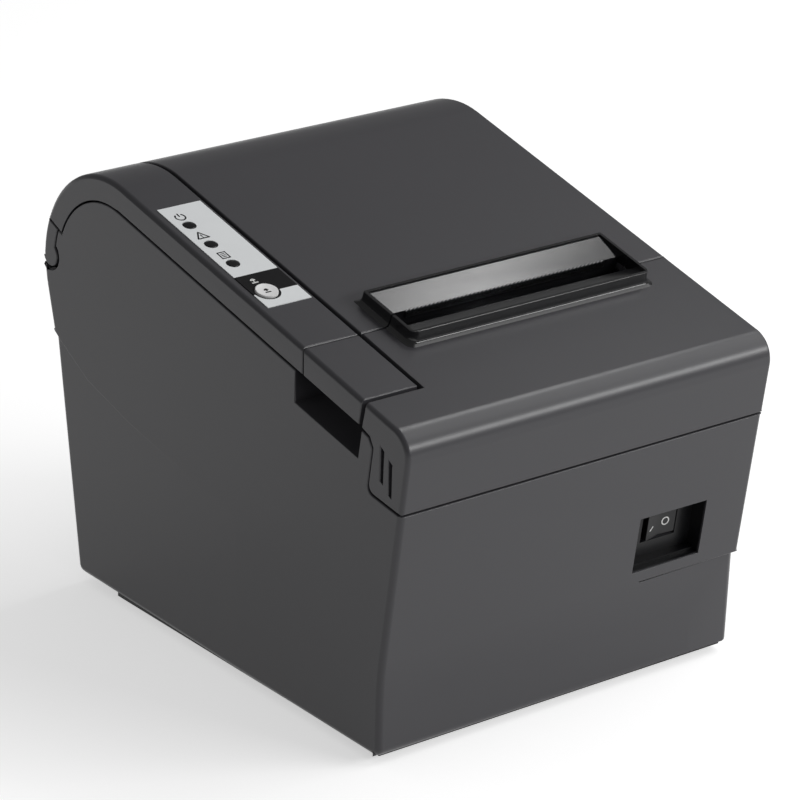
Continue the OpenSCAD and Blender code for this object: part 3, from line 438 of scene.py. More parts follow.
# Shares of a face's normal: along x on a side wall and on the skin, and between the two at a turn
ON_SIDE, ON_SKIN, TURN_OVER = 0.9, 0.1, 0.8
UNDERSIDE = -0.99
side_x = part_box("main_case")[1].x - 2 * MM


def casing_radius(side):
    """The long corners at the sides get one radius, and every other outer edge the seam's."""
    out = {}

    def is_outer(face):
        if face.index not in out:
            on_side = abs(face.normal.x) > ON_SIDE and abs(face.center.x) > side_x
            reach = LOW_REACH if face.center.z < LIP_Z * MM else SKIN_REACH
            on_skin = abs(face.normal.x) < ON_SKIN and off_outline(face.center) < reach
            out[face.index] = (on_side or on_skin) and sees_outside(face.center, face.normal)
        return out[face.index]

    def radius(a, b, one, two):
        near, far = sorted((a.x, b.x))
        if is_outer(one) and is_outer(two):
            set_back = SET_BACK_X[0] * MM < near and far < SET_BACK_X[1] * MM
            turns = abs(one.normal.x - two.normal.x) > TURN_OVER
            return (SET_BACK_R if set_back else side) * MM if turns else 0.0
        below = min(one.normal.z, two.normal.z) < UNDERSIDE
        if below and near > side_x and min(a.z, b.z) > LIP_LOW * MM:
            return LIP_R * MM
        return SEAM_R * MM if is_outer(one) or is_outer(two) else 0.0

    return radius


print("wide rounds:", CASE_SIDE_R, "mm on the case and", SIDE_R, "mm on the covers")

# %% [markdown]
# ### The case
#
# At the lower right corner of the front the case has points that lie closer together than the
# round is wide. A bevel over them would throw spikes, so they are first drawn together onto the
# highest and the rearmost of them.

# %% Welding the case and clearing its corner
TOE_END = (70.5, -83.4, 5)

case_copy = welded("main_case", "main_shell")


def toe_end(place):
    x, y, z = (limit * MM for limit in TOE_END)
    return place.x > x and place.y < y and place.z < z


ends = [v.co.copy() for v in case_copy.data.vertices if toe_end(v.co)]
crest, foot = max(ends, key=lambda p: p.z), max(ends, key=lambda p: p.y)
middle_y = (crest.y + foot.y) / 2
for target, front in ((crest, True), (foot, False)):
    edit(case_copy, "VERT", lambda place, normal: toe_end(place) and (place.y < middle_y) == front)
    bpy.ops.transform.resize(value=(0, 0, 0), center_override=target)
    bpy.ops.mesh.remove_doubles(threshold=WELD)
    close_edit()
print("points left at the corner:", sum(toe_end(v.co) for v in case_copy.data.vertices))

# %% [markdown]
# Only after the bevel is the rim moved, because points that had left their plane would spoil the
# rounds. The rim tilts down a little towards the front, and the walls beside the opening for the
# sockets are drawn in under the heel, where they would stick out as fins.

# %% Rounding the case and moving its rim
FRONT_DROP, RIM_RUN = 1.2, 163
RIM_TOP, RIM_SIDE, RIM_FRONT = 7.1, 69.9, -83.3
RIM_HINGE = Vector((0, 78.5, 4)) * MM
FIN_X, FIN_HALF, FIN_Y, FIN_Z, FIN_IN = 60.75, 1.8, 81.5, 8, 3.2


def on_rim(place, normal):
    outside = abs(place.x) > RIM_SIDE * MM or place.y < RIM_FRONT * MM
    return place.z < RIM_TOP * MM and outside


def on_fin(place, normal):
    beside = abs(abs(place.x) - FIN_X * MM) < FIN_HALF * MM
    return beside and place.y > FIN_Y * MM and place.z < FIN_Z * MM


main_shell = round_edges(case_copy, casing_radius(CASE_SIDE_R))
edit(main_shell, "VERT", on_rim)
bpy.ops.transform.rotate(value=-FRONT_DROP / RIM_RUN, orient_axis="X", center_override=RIM_HINGE)
close_edit()
edit(main_shell, "VERT", on_fin)
bpy.ops.transform.translate(value=(0, -FIN_IN * MM, 0))
close_edit()
lowest = min(v.co.z for v in main_shell.data.vertices) / MM
print("lowest rim point:", round(lowest, 2), "mm")

# %% [markdown]
# ### The panel, the tab and the two covers
#
# These are rounded in the same way, with a narrower round at the sides than the case has. The
# release tab is first cut back by 1.2 mm, so that a dark gap shows between it and the front cover.

# %% Rounding the other shells
TAB_FRONT, TAB_BACK = -74.5, 1.2

panel_shell = round_edges(welded("operation_panel", "panel_shell"), casing_radius(SIDE_R))
tab_copy = welded("release_tab", "tab_shell")
edit(tab_copy, "VERT", lambda place, normal: place.y < TAB_FRONT * MM)
bpy.ops.transform.translate(value=(0, TAB_BACK * MM, TAB_BACK * MM * math.tan(slope)))
close_edit()
tab_shell = round_edges(tab_copy, casing_radius(SIDE_R))
roll_shell = round_edges(welded("roll_cover", "roll_shell"), casing_radius(SIDE_R))
front_shell = round_edges(welded("front_cover", "front_shell"), casing_radius(SIDE_R))
for shell in (main_shell, panel_shell, tab_shell, roll_shell, front_shell):
    told(smooth(shell))

# %% [markdown]
# ## Finishes
#
# Every finish is a node tree on object coordinates, so its grain has a real size in metres and
# stays on the part when it moves. The helpers below are the vocabulary. The first ones give the
# coordinates, a turned copy of them, and a noise with blobs of a known size.

# %% Coordinates and noise
def start_finish(name):
    """A new material with its tree, its shader and its object coordinates."""
    material = bpy.data.materials.new(name)
    material.use_nodes = True
    tree = material.node_tree
    where = tree.nodes.new("ShaderNodeTexCoord").outputs["Object"]
    return material, tree, tree.nodes["Principled BSDF"], where


def turned(tree, where, location=(0, 0, 0), rotation=(0, 0, 0), scale=(1, 1, 1)):
    node = tree.nodes.new("ShaderNodeMapping")
    node.inputs["Location"].default_value = location
    node.inputs["Rotation"].default_value = rotation
    node.inputs["Scale"].default_value = scale
    tree.links.new(where, node.inputs["Vector"])
    return node.outputs["Vector"]


def noise(tree, where, size, detail=2.0):
    """Soft random blobs about size metres across."""
    node = tree.nodes.new("ShaderNodeTexNoise")
    node.inputs["Scale"].default_value = 1 / size
    node.inputs["Detail"].default_value = detail
    tree.links.new(where, node.inputs["Vector"])
    return node.outputs["Fac"]


print("materials so far:", len(bpy.data.materials))

# %% [markdown]
# The rest of the vocabulary shapes values: a range, a blend of two near colours, plain arithmetic,
# and a bump of a known depth.

# %% Ranges, blends and relief
def span(tree, value, low, high, start, end):
    """Maps a value from one range to another."""
    node = tree.nodes.new("ShaderNodeMapRange")
    for key, number in zip(("From Min", "From Max", "To Min", "To Max"), (low, high, start, end)):
        node.inputs[key].default_value = number
    tree.links.new(value, node.inputs["Value"])
    return node.outputs["Result"]


def blend(tree, factor, one, two):
    """A colour between two; each may be a colour or an output."""
    node = tree.nodes.new("ShaderNodeMix")
    node.data_type = "RGBA"
    tree.links.new(factor, node.inputs[0])
    for socket, colour in ((node.inputs[6], one), (node.inputs[7], two)):
        if isinstance(colour, bpy.types.NodeSocket):
            tree.links.new(colour, socket)
        else:
            socket.default_value = (*colour, 1)
    return node.outputs[2]


def sums(tree, operation, one, two):
    """Arithmetic on two outputs or numbers."""
    node = tree.nodes.new("ShaderNodeMath")
    node.operation = operation
    for socket, value in zip(node.inputs, (one, two)):
        if isinstance(value, bpy.types.NodeSocket):
            tree.links.new(value, socket)
        else:
            socket.default_value = value
    return node.outputs[0]


def relief(tree, shader, height, depth, strength=1.0):
    """A bump whose full height is depth metres."""
    node = tree.nodes.new("ShaderNodeBump")
    node.inputs["Strength"].default_value = strength
    node.inputs["Distance"].default_value = depth
    tree.links.new(height, node.inputs["Height"])
    tree.links.new(node.outputs["Normal"], shader.inputs["Normal"])


print("words:", ", ".join(w.__name__ for w in (noise, span, blend, sums, relief)))

# %% [markdown]
# ### Moulded plastic
#
# The casing is charcoal ABS with a fine, very shallow grain of about a third of a millimetre. The
# grain softens the highlight, and a faint cloud of a few centimetres keeps a large wall from
# looking like flat paint. The same recipe with other numbers gives the glossy black guides, the
# white button and the nylon.

# %% The plastics
CLOUD, SHEEN, SHEEN_SWING = 0.03, 0.004, 0.01


def plastic(name, colour, roughness, grain=0.35, depth=0.004, mottle=0.06, specular=0.5):
    """Moulded plastic; grain and depth in millimetres."""
    material, tree, shader, where = start_finish(name)
    cloud = noise(tree, where, CLOUD, 3)
    dark = [c * (1 - mottle) for c in colour]
    light = [c * (1 + mottle) for c in colour]
    tree.links.new(blend(tree, cloud, dark, light), shader.inputs["Base Color"])
    sheen = span(tree, noise(tree, where, SHEEN, 4), 0.3, 0.7, roughness - SHEEN_SWING,
                 roughness + SHEEN_SWING)
    tree.links.new(sheen, shader.inputs["Roughness"])
    shader.inputs["Specular IOR Level"].default_value = specular
    relief(tree, shader, noise(tree, where, grain * MM, 2), depth * MM, 0.6)
    return material


CHARCOAL = (0.0525, 0.0515, 0.0570)
casing_finish = plastic("casing_plastic", CHARCOAL, 0.30, depth=0.0015, mottle=0.025,
                        specular=0.40)
guide_finish = plastic("guide_plastic", (0.008, 0.008, 0.009), 0.16, grain=1.5, depth=0.001)
# Near-black: black plastic on the switch housing, partly painted shade in the switch recess, and a
# painted shadow on the base plate under the case
black_and_shade_finish = plastic("black_plastic_and_painted_shade", (0.006, 0.006, 0.007), 0.3, grain=0.8, depth=0.002,
                        specular=0.25)
rocker_finish = plastic("rocker_plastic", (0.009, 0.009, 0.010), 0.34, grain=0.6, specular=0.3)
dark_finish = plastic("dark_plastic", (0.022, 0.022, 0.024), 0.45)
well_finish = plastic("well_plastic", (0.030, 0.030, 0.032), 0.5)
button_finish = plastic("button_plastic", (0.87, 0.87, 0.87), 0.32, mottle=0.02)
nylon_finish = plastic("nylon", (0.74, 0.73, 0.68), 0.4, grain=0.6, mottle=0.03)
lens_finish = plastic("lens_plastic", (0.010, 0.010, 0.011), 0.22, grain=2.0, depth=0.001,
                      specular=0.12)
rubber_finish = plastic("rubber", (0.018, 0.018, 0.018), 0.72, grain=0.5, depth=0.012, mottle=0.12)
roller_finish = plastic("roller_rubber", (0.035, 0.035, 0.037), 0.6, grain=0.2, depth=0.006)
port_finish = plastic("port_plastic", (0.020, 0.020, 0.021), 0.38, grain=0.5)
knob_finish = plastic("knob_plastic", (0.06, 0.22, 0.12), 0.4, grain=0.5)
mark_finish = plastic("mark_paint", (0.78, 0.78, 0.77), 0.5, grain=0.2, mottle=0.03)
ink_finish = plastic("ink", (0.012, 0.012, 0.013), 0.5, grain=0.2, mottle=0.1, specular=0.1)
cable_finish = plastic("cable_film", (0.72, 0.72, 0.68), 0.35, grain=3.0, mottle=0.04)
print("materials with the plastics:", len(bpy.data.materials))

# %% [markdown]
# ### Metals
#
# Sheet and bar show the direction they were rolled or drawn in as fine streaks, and other metal
# parts only show small spots. A noise stretched along one axis gives the streaks, in the roughness
# and in a very shallow bump, and where it isn't stretched it stays spots.

# %% The metals
SPOT, SPOT_SHADE = 0.012, 0.88
STREAK_SWING, STREAK_DEPTH = 0.07, 0.003


def metal(name, colour, roughness, along=(1, 1, 1), streak=0.25):
    """Bare metal; along stretches the streaks on each axis, and streak is in millimetres."""
    material, tree, shader, where = start_finish(name)
    shader.inputs["Metallic"].default_value = 1.0
    lines = noise(tree, turned(tree, where, scale=[1 / a for a in along]), streak * MM, 3)
    spots = noise(tree, where, SPOT, 4)
    dark = [c * SPOT_SHADE for c in colour]
    tree.links.new(blend(tree, spots, dark, colour), shader.inputs["Base Color"])
    sheen = span(tree, lines, 0.25, 0.75, roughness - STREAK_SWING, roughness + STREAK_SWING)
    tree.links.new(sheen, shader.inputs["Roughness"])
    relief(tree, shader, lines, STREAK_DEPTH * MM, 0.5)
    return material


steel_finish = metal("ground_steel", (0.60, 0.61, 0.63), 0.25, (30, 1, 1))
zinc_finish = metal("zinc_sheet", (0.50, 0.51, 0.53), 0.38, (25, 1, 1))
blade_finish = metal("blade_steel", (0.70, 0.71, 0.73), 0.2, (1, 40, 1))
aluminium_finish = metal("aluminium", (0.62, 0.63, 0.65), 0.4, (40, 1, 1))
shell_finish = metal("connector_shell", (0.64, 0.65, 0.67), 0.3, (8, 1, 1))
brass_finish = metal("brass", (0.66, 0.47, 0.19), 0.3, (1, 1, 1))
motor_finish = metal("motor_steel", (0.28, 0.28, 0.29), 0.42, (1, 1, 1), streak=0.8)
screw_finish = metal("screw_steel", (0.45, 0.45, 0.46), 0.32, (1, 1, 1), streak=0.6)
print("materials with the metals:", len(bpy.data.materials))

# %% [markdown]
# ### Patterns with a place of their own
#
# A printed pattern has to sit in one place, so it can't come from noise. Its place is read from
# the object coordinates, turned back onto the working plane where the part was laid out, and a
# soft step on each side of a range paints a band.

# %% Reading a place
def on_plane(tree, where, plane):
    """Object coordinates turned back onto a working plane, in millimetres."""
    back = plane.inverted()
    flat = turned(tree, where, location=back.translation / MM, rotation=back.to_euler(),
                  scale=(1 / MM,) * 3)
    node = tree.nodes.new("ShaderNodeSeparateXYZ")
    tree.links.new(flat, node.inputs[0])
    return node.outputs["X"], node.outputs["Y"]


def between(tree, value, low, high, soft):
    """One inside a range and zero outside, with soft ends."""
    rise = span(tree, value, low - soft, low + soft, 0, 1)
    fall = span(tree, value, high - soft, high + soft, 1, 0)
    return sums(tree, "MULTIPLY", rise, fall)


print("places are read in millimetres on the plane")

# %% [markdown]
# ### The label
#
# The label is a silver-grey film with a printed black band across it, and a black ring round the
# button. The ring is a distance from the button's middle, worked out with a few nodes. Ink is
# duller than film.

# %% The label film
BUTTON, BUTTON_R, BUTTON_RING = (-64.3, -15.9), 3.8, 0.75
BAND = (-16.3, -5.6)
LED_X, LED_PITCH = -64.8, 12.1
LED_S = BUTTON[1] + 17.6
BAND_EDGE, RING_EDGE = 0.05, 0.06
FILM_GLOSS, INK_GLOSS = 0.4, 0.06


def label_film():
    material, tree, shader, where = start_finish("label_film")
    x, s = on_plane(tree, where, TOP)
    band = between(tree, s, *BAND, BAND_EDGE)
    dx = sums(tree, "SUBTRACT", x, BUTTON[0])
    ds = sums(tree, "SUBTRACT", s, BUTTON[1])
    squares = sums(tree, "ADD", sums(tree, "MULTIPLY", dx, dx), sums(tree, "MULTIPLY", ds, ds))
    reach = sums(tree, "SQRT", squares, 0.0)
    ring = between(tree, reach, 0, BUTTON_R + BUTTON_RING, RING_EDGE)
    printed = sums(tree, "MAXIMUM", band, ring)
    film = blend(tree, noise(tree, where, 0.01, 3), (0.80, 0.82, 0.83), (0.85, 0.87, 0.88))
    ink = blend(tree, noise(tree, where, 0.002, 3), (0.010, 0.010, 0.011), (0.016, 0.016, 0.017))
    tree.links.new(blend(tree, printed, film, ink), shader.inputs["Base Color"])
    gloss = span(tree, printed, 0, 1, FILM_GLOSS, INK_GLOSS)
    tree.links.new(gloss, shader.inputs["Specular IOR Level"])
    sheen = span(tree, noise(tree, where, 0.003, 3), 0.3, 0.7, 0.36, 0.44)
    tree.links.new(sheen, shader.inputs["Roughness"])
    relief(tree, shader, noise(tree, where, 0.0004, 2), 0.000002, 0.5)
    return material


label_finish = label_film()
print("finish:", label_finish.name)

# %% [markdown]
# ### The circuit boards
#
# A circuit board is green from its solder mask, and the copper tracks under it show as paler,
# slightly raised lines. A brick pattern with long low bricks gives such lines in millimetres.

# %% The solder mask
TRACKS = {"Scale": 1.0, "Mortar Size": 0.22, "Brick Width": 7.0, "Row Height": 1.3}


def solder_mask():
    material, tree, shader, where = start_finish("solder_mask")
    bricks = tree.nodes.new("ShaderNodeTexBrick")
    tree.links.new(turned(tree, where, scale=(1 / MM,) * 3), bricks.inputs["Vector"])
    for key, number in TRACKS.items():
        bricks.inputs[key].default_value = number
    track = bricks.outputs["Fac"]
    mask = blend(tree, noise(tree, where, 0.006, 3), (0.012, 0.085, 0.030), (0.018, 0.115, 0.042))
    tree.links.new(blend(tree, track, mask, (0.030, 0.17, 0.065)), shader.inputs["Base Color"])
    sheen = span(tree, noise(tree, where, 0.003, 3), 0.3, 0.7, 0.2, 0.32)
    tree.links.new(sheen, shader.inputs["Roughness"])
    relief(tree, shader, track, 0.00003, 0.6)
    return material


board_finish = solder_mask()
print("finish:", board_finish.name)

# %% [markdown]
# ### The print head
#
# The print head is a strip of glazed ceramic with one dark heater line along it, a little above
# the middle. The line is glassy, because the paper slides over it.

# %% The head's ceramic
HEATER_UP, HEATER_HALF, HEATER_EDGE = 4, 0.8, 0.1


def head_ceramic():
    material, tree, shader, where = start_finish("head_ceramic")
    axes = tree.nodes.new("ShaderNodeSeparateXYZ")
    tree.links.new(where, axes.inputs[0])
    low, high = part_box("thermal_head")
    heater_z = (low.z + high.z) / 2 + HEATER_UP * MM
    line = between(tree, axes.outputs["Z"], heater_z - HEATER_HALF * MM,
                   heater_z + HEATER_HALF * MM, HEATER_EDGE * MM)
    glaze = blend(tree, noise(tree, where, 0.008, 3), (0.52, 0.47, 0.34), (0.60, 0.55, 0.41))
    tree.links.new(blend(tree, line, glaze, (0.02, 0.018, 0.016)), shader.inputs["Base Color"])
    tree.links.new(span(tree, line, 0, 1, 0.3, 0.12), shader.inputs["Roughness"])
    relief(tree, shader, noise(tree, where, 0.0005, 2), 0.000004, 0.5)
    return material


head_finish = head_ceramic()
print("all materials:", len(bpy.data.materials))

# %% [markdown]
# ## Dressing the shells and the nodes whose shape is right
#
# The rounded shells stand for their nodes and ride on the same bodies. The nodes that keep their
# own shape, most of them inside, only change material: the node's mesh stays as it was packed.

# %% Materials on shells and nodes
finish_piece(main_shell, casing_finish, "case", "casing", "main_case")
finish_piece(panel_shell, casing_finish, "case", "casing", "operation_panel")
finish_piece(tab_shell, casing_finish, "tab", "casing", "release_tab")
finish_piece(roll_shell, casing_finish, "roll_cover_body", "casing", "roll_cover")
finish_piece(front_shell, casing_finish, "front_cover_body", "casing", "front_cover")

NODE_FINISHES = {
    # The base plate is painted near-black as the shadow under the case's lower edge
    "base_plate": black_and_shade_finish, "rubber_feet": rubber_finish, "chassis_posts": zinc_finish,
    "case_screws": screw_finish, "panel_label": label_finish,
    "panel_board": board_finish, "tact_switch": dark_finish,
    "tab_pin": steel_finish, "hinge_pins": steel_finish,
    "tear_bar": blade_finish, "platen_holder": dark_finish, "platen_bushes": nylon_finish,
    "platen_shaft": steel_finish, "platen_rubber": roller_finish, "platen_gear": nylon_finish,
    "fixed_blade": blade_finish, "mechanism_frame": zinc_finish,
    "thermal_head": head_finish, "heat_sink": aluminium_finish,
    "feed_motor": motor_finish, "motor_pinion": brass_finish, "idler_gear": nylon_finish,
    "idler_pin": steel_finish, "latch_shaft": zinc_finish,
    "cutter_frame": zinc_finish, "moving_blade": blade_finish, "cutter_knob": knob_finish,
    "cutter_motor": motor_finish, "switch_housing": black_and_shade_finish,
    "paper_well": well_finish, "near_end_lever": nylon_finish, "paper_end_sensor": dark_finish,
    "cover_sensor": dark_finish, "main_board": board_finish, "interface_plate": zinc_finish,
    "interface_board": board_finish, "serial_connector": shell_finish, "usb_port": shell_finish,
    "drawer_jack": port_finish, "power_inlet": port_finish, "flat_cable": cable_finish,
    "mechanism_screws": screw_finish,
}
for node, finish in NODE_FINISHES.items():
    nodes[node].data.materials.clear()
    nodes[node].data.materials.append(finish)
print("nodes dressed:", len(NODE_FINISHES))

# %% [markdown]
# ## The frame round the paper exit
#
# The exit frame is one glossy moulding that the split between the two covers cuts in half. Its
# outer walls stand almost upright and flare out at the foot, which draws a bright line along the
# base. It is built as a single rounded tub: a flat plate grows upwards ring by ring, and each ring
# is a little smaller than the last. Everything is laid out on the flat plane first: x across, y up
# the slope, z away from it.

# %% Growing the tub
EXIT_X, EXIT_S = (-40.0, 55.8), (-58.0, -32.1)
SPLIT_S = -45.8 / math.cos(slope)
SLOT = (-51.0, -44.1)
EXIT_WALL = 1.2
FOOT_H, FOOT_OUT = 0.01, 1.75
# Height of each ring above the foot, and how far it stands out from the rim
FLARE = ((0.10, 1.55), (0.30, 1.0), (0.65, 0.55), (1.2, 0.25), (2.4, 0.06), (4.1, 0.0),
         (4.33, -0.08), (4.4, -0.24))
REAR_CORNER, FRONT_CORNER, CORNER_CUTS = 0.8, 3.0, 6
CLOSE = 1e-6


def plate(name, x, s, h, corners):
    """A flat plate whose corners are rounded; corners maps each end of s to a radius."""
    fresh()
    bpy.ops.mesh.primitive_plane_add(size=1, location=(sum(x) / 2 * MM, sum(s) / 2 * MM, h * MM))
    bpy.context.object.scale = ((x[1] - x[0]) * MM, (s[1] - s[0]) * MM, 1)
    piece = named(name)
    for end, radius in zip(s, corners):
        edit(piece, "VERT", lambda place, normal: abs(place.y - end * MM) < CLOSE)
        bpy.ops.mesh.bevel(offset=radius * MM, affect="VERTICES", segments=CORNER_CUTS)
        close_edit()
    return piece


def grow_rings(piece, x, s):
    """Extrudes the open plate upwards, resizing it at each ring."""
    middle = (sum(x) / 2 * MM, sum(s) / 2 * MM, 0)
    half_x, half_s = (x[1] - x[0]) / 2, (s[1] - s[0]) / 2
    edit(piece, "FACE", lambda place, normal: True)
    height, out = FOOT_H, FOOT_OUT
    for ring_h, ring_out in FLARE:
        bpy.ops.mesh.extrude_region_move(
            TRANSFORM_OT_translate={"value": (0, 0, (ring_h - height) * MM)})
        share = [(half + ring_out) / (half + out) for half in (half_x, half_s)]
        bpy.ops.transform.resize(value=(*share, 1), center_override=middle)
        height, out = ring_h, ring_out
    bpy.ops.mesh.select_all(action="SELECT")
    bpy.ops.mesh.normals_make_consistent(inside=False)
    close_edit()
    return piece


def combine(piece, tool, operation):
    """Joins or cuts with a second piece, which is then gone."""
    modify(piece, "BOOLEAN", operation=operation, object=tool, solver="EXACT")
    bpy.data.objects.remove(tool)
    return piece


wide_x = (EXIT_X[0] - FOOT_OUT, EXIT_X[1] + FOOT_OUT)
wide_s = (EXIT_S[0] - FOOT_OUT, EXIT_S[1] + FOOT_OUT)
foot_plate = plate("tub", wide_x, wide_s, FOOT_H, (FRONT_CORNER, REAR_CORNER))
tub = grow_rings(foot_plate, EXIT_X, EXIT_S)
print("rings:", len(FLARE), "faces:", len(tub.data.polygons))

# %% [markdown]
# The inside is cut with three tools. The slot goes right through, and a wedge on each side of it
# slopes down to the slot's lips. A wedge is a box whose lower outer edge was pulled up, so its
# underside slopes.

# %% Cutting the slot and its two slopes
LIP_REAR, LIP_FRONT = 2.45, 2.1
SLOPE_TOP, CLEAR = 3.85, 8
inner_x = (EXIT_X[0] + EXIT_WALL, EXIT_X[1] - EXIT_WALL)


def wedge(name, s_lip, s_far, lip):
    """A cutter above a slope that rises from the slot's lip to the far wall."""
    run = s_far - s_lip
    start = s_lip - math.copysign(1.0, run)
    tool = block(name, inner_x, sorted((start, s_far)), (lip, CLEAR))
    rise = (SLOPE_TOP - lip) / abs(run)
    edit(tool, "VERT", lambda place, normal: place.z < (lip + 1) * MM
         and abs(place.y - s_far * MM) < CLOSE)
    bpy.ops.transform.translate(value=(0, 0, (SLOPE_TOP - lip) * MM))
    close_edit()
    edit(tool, "VERT", lambda place, normal: place.z < (lip + 0.01) * MM)
    bpy.ops.transform.translate(value=(0, 0, -rise * MM))
    close_edit()
    return tool


for cutter in (block("through", inner_x, SLOT, (-1, CLEAR)),
               wedge("rear_wedge", SLOT[1], EXIT_S[1] - EXIT_WALL, LIP_REAR),
               wedge("front_wedge", SLOT[0], EXIT_S[0] + EXIT_WALL, LIP_FRONT)):
    combine(tub, cutter, "DIFFERENCE")
print("tub cut:", len(tub.data.polygons), "faces")

# %% [markdown]
# The split leaves a gap of 0.6 mm. Each half gets the skirt that guides the paper inside the
# cover, and a narrow round on every edge that would be sharp.

# %% The two halves
HALF_GAP = 0.3
SKIRT_T, SKIRT_FIT, SKIRT_SIDE = 1.5, 0.02, 2
EXIT_ROUND, EXIT_SHARP = 0.16, math.radians(50)


def half_of(name, front):
    """The part of the tub on one side of the split, closed where it was cut."""
    piece = bpy.data.objects.new(name, tub.data.copy())
    bpy.context.scene.collection.objects.link(piece)
    cut = (SPLIT_S + (-HALF_GAP if front else HALF_GAP)) * MM
    edit(piece, "VERT", lambda place, normal: True)
    bpy.ops.mesh.bisect(plane_co=(0, cut, 0), plane_no=(0, 1, 0), use_fill=True,
                        clear_inner=not front, clear_outer=front)
    close_edit()
    return piece


rear_guide = half_of("rear_guide", front=False)
front_guide = half_of("front_guide", front=True)
skirt_x = (EXIT_X[0] + SKIRT_SIDE, EXIT_X[1] - SKIRT_SIDE)
rear_s = (SLOT[1] + SKIRT_FIT, SLOT[1] + SKIRT_T)
front_s = (SLOT[0] - SKIRT_T, SLOT[0] - SKIRT_FIT)
combine(rear_guide, block("rear_skirt", skirt_x, rear_s, (-7, 2.0)), "UNION")
combine(front_guide, block("front_skirt", skirt_x, front_s, (-5, 1.7)), "UNION")
for guide in (rear_guide, front_guide):
    modify(guide, "BEVEL", width=EXIT_ROUND * MM, segments=2, limit_method="ANGLE",
           angle_limit=EXIT_SHARP, use_clamp_overlap=True)
    smooth(guide, 35)
    seat(guide, TOP)
bpy.data.objects.remove(tub)
finish_piece(rear_guide, guide_finish, "roll_cover_body", "casing_dark", "rear_exit_guide")
finish_piece(front_guide, guide_finish, "front_cover_body", "casing_dark", "front_exit_guide")

# %% [markdown]
# ## The operation panel
#
# Three dark windows, a white button and a printed film make up the panel. The windows are the ends
# of light guides that stand on the panel's board. Their tops bulge a little: the top face is inset
# three times, and each time it is lifted by less.

# %% The light guides
LED_R, LED_COUNT = 2.3, 3
GUIDE_FOOT, HOLE_FIT = -6.6, 0.1
BULGE = ((0.14, 0.10), (0.30, 0.07), (0.55, 0.05))
BULGE_INSET = 0.6
UP = 0.9


def top_face(place, normal):
    return normal.z > UP


def light_guide(number):
    """One light guide with its flange and its bulging top."""
    s = LED_S + number * LED_PITCH
    stem = disc("stem", LED_R - HOLE_FIT, -GUIDE_FOOT, (LED_X, s, GUIDE_FOOT))
    edit(stem, "FACE", top_face)
    for share, lift in BULGE:
        bpy.ops.mesh.inset(thickness=share * BULGE_INSET * LED_R * MM)
        bpy.ops.transform.translate(value=(0, 0, lift * MM))
    close_edit()
    flange = disc("flange", LED_R + 0.8, 1.0, (LED_X, s, -3.2))
    return joined("guide", stem, flange)


light_guides = joined("light_guides", *[light_guide(i) for i in range(LED_COUNT)])
smooth(light_guides, 40)
seat(light_guides, TOP)
finish_piece(light_guides, lens_finish, "case", "lens", "status_lenses")

# %% [markdown]
# ### The feed button
#
# The button's top is dished, so a finger finds its middle, and its rim is round. Insets that sink
# step by step make the dish, and a bevel on the outer ring of edges makes the rim.

# %% The button
CAP_TOP, CAP_FOOT, CAP_SIDES = 0.8, -3.4, 64
DISH = ((0.06, 0.0), (0.10, 0.0), (0.5, -0.06), (1.0, -0.12), (1.0, -0.06))
RIM_ROUND, RIM_STEPS = 0.15, 4


def on_button_rim(a, b):
    """Whether an edge lies on the top's outer ring."""
    reach = min(Vector((p.x / MM - BUTTON[0], p.y / MM - BUTTON[1])).length for p in (a, b))
    return min(a.z, b.z) > (CAP_TOP - 0.001) * MM and reach > BUTTON_R - HOLE_FIT - 0.02


cap = disc("button_cap", BUTTON_R - HOLE_FIT, CAP_TOP - CAP_FOOT, (*BUTTON, CAP_FOOT), CAP_SIDES)
edit(cap, "FACE", top_face)
for shrink, lift in DISH:
    bpy.ops.mesh.inset(thickness=shrink * MM)
    bpy.ops.transform.translate(value=(0, 0, lift * MM))
close_edit()
edit(cap, "EDGE", on_button_rim)
bpy.ops.mesh.bevel(offset=RIM_ROUND * MM, segments=RIM_STEPS)
close_edit()
flange = disc("flange", BUTTON_R + 1, 1.1, (*BUTTON, CAP_FOOT), CAP_SIDES)
button_piece = joined("feed_cap", cap, flange)
smooth(button_piece, 40)
seat(button_piece, TOP)
finish_piece(button_piece, button_finish, "button", "button", "feed_button")

# %% [markdown]
# ### Printed signs
#
# Each window has a sign beside it: a power ring, a warning triangle and a sheet of paper. The
# button has an arrow over a line, for paper being fed. A sign is made of thin raised strokes, as
# screen printing leaves them, and every stroke is either a bar or a flat ring.

# %% Bars and rings
INK_T, STROKE, RING_SIDES = 0.03, 0.52, 72


def bar(place, length, turn=0.0, width=STROKE, height=0.0):
    """A printed bar whose middle is at place, turned in degrees on the plane."""
    fresh()
    middle = (place[0] * MM, place[1] * MM, (height + INK_T / 2) * MM)
    bpy.ops.mesh.primitive_cube_add(size=1, location=middle)
    stroke = bpy.context.object
    stroke.scale = (length * MM, width * MM, INK_T * MM)
    stroke.rotation_euler.z = math.radians(turn)
    return named("bar")


def ring_stroke(place, radius, width=STROKE, height=0.0, opening=0):
    """A printed flat ring, open at the top by a number of degrees."""
    fresh()
    middle = (place[0] * MM, place[1] * MM, height * MM)
    bpy.ops.mesh.primitive_circle_add(vertices=RING_SIDES, radius=(radius + width / 2) * MM,
                                      location=middle)
    stroke = named("ring")
    edit(stroke, "EDGE", lambda a, b: True)
    share = (radius - width / 2) / (radius + width / 2)
    bpy.ops.mesh.extrude_edges_move()
    bpy.ops.transform.resize(value=(share, share, 1), center_override=middle)
    close_edit()
    edit(stroke, "FACE", lambda p, n: opening and abs(math.degrees(
        math.atan2(p.x - middle[0], p.y - middle[1]))) < opening / 2)
    bpy.ops.mesh.delete(type="FACE")
    close_edit()
    edit(stroke, "FACE", lambda p, n: True)
    bpy.ops.mesh.normals_make_consistent(inside=False)
    close_edit()
    return modify(stroke, "SOLIDIFY", thickness=INK_T * MM, offset=1.0)


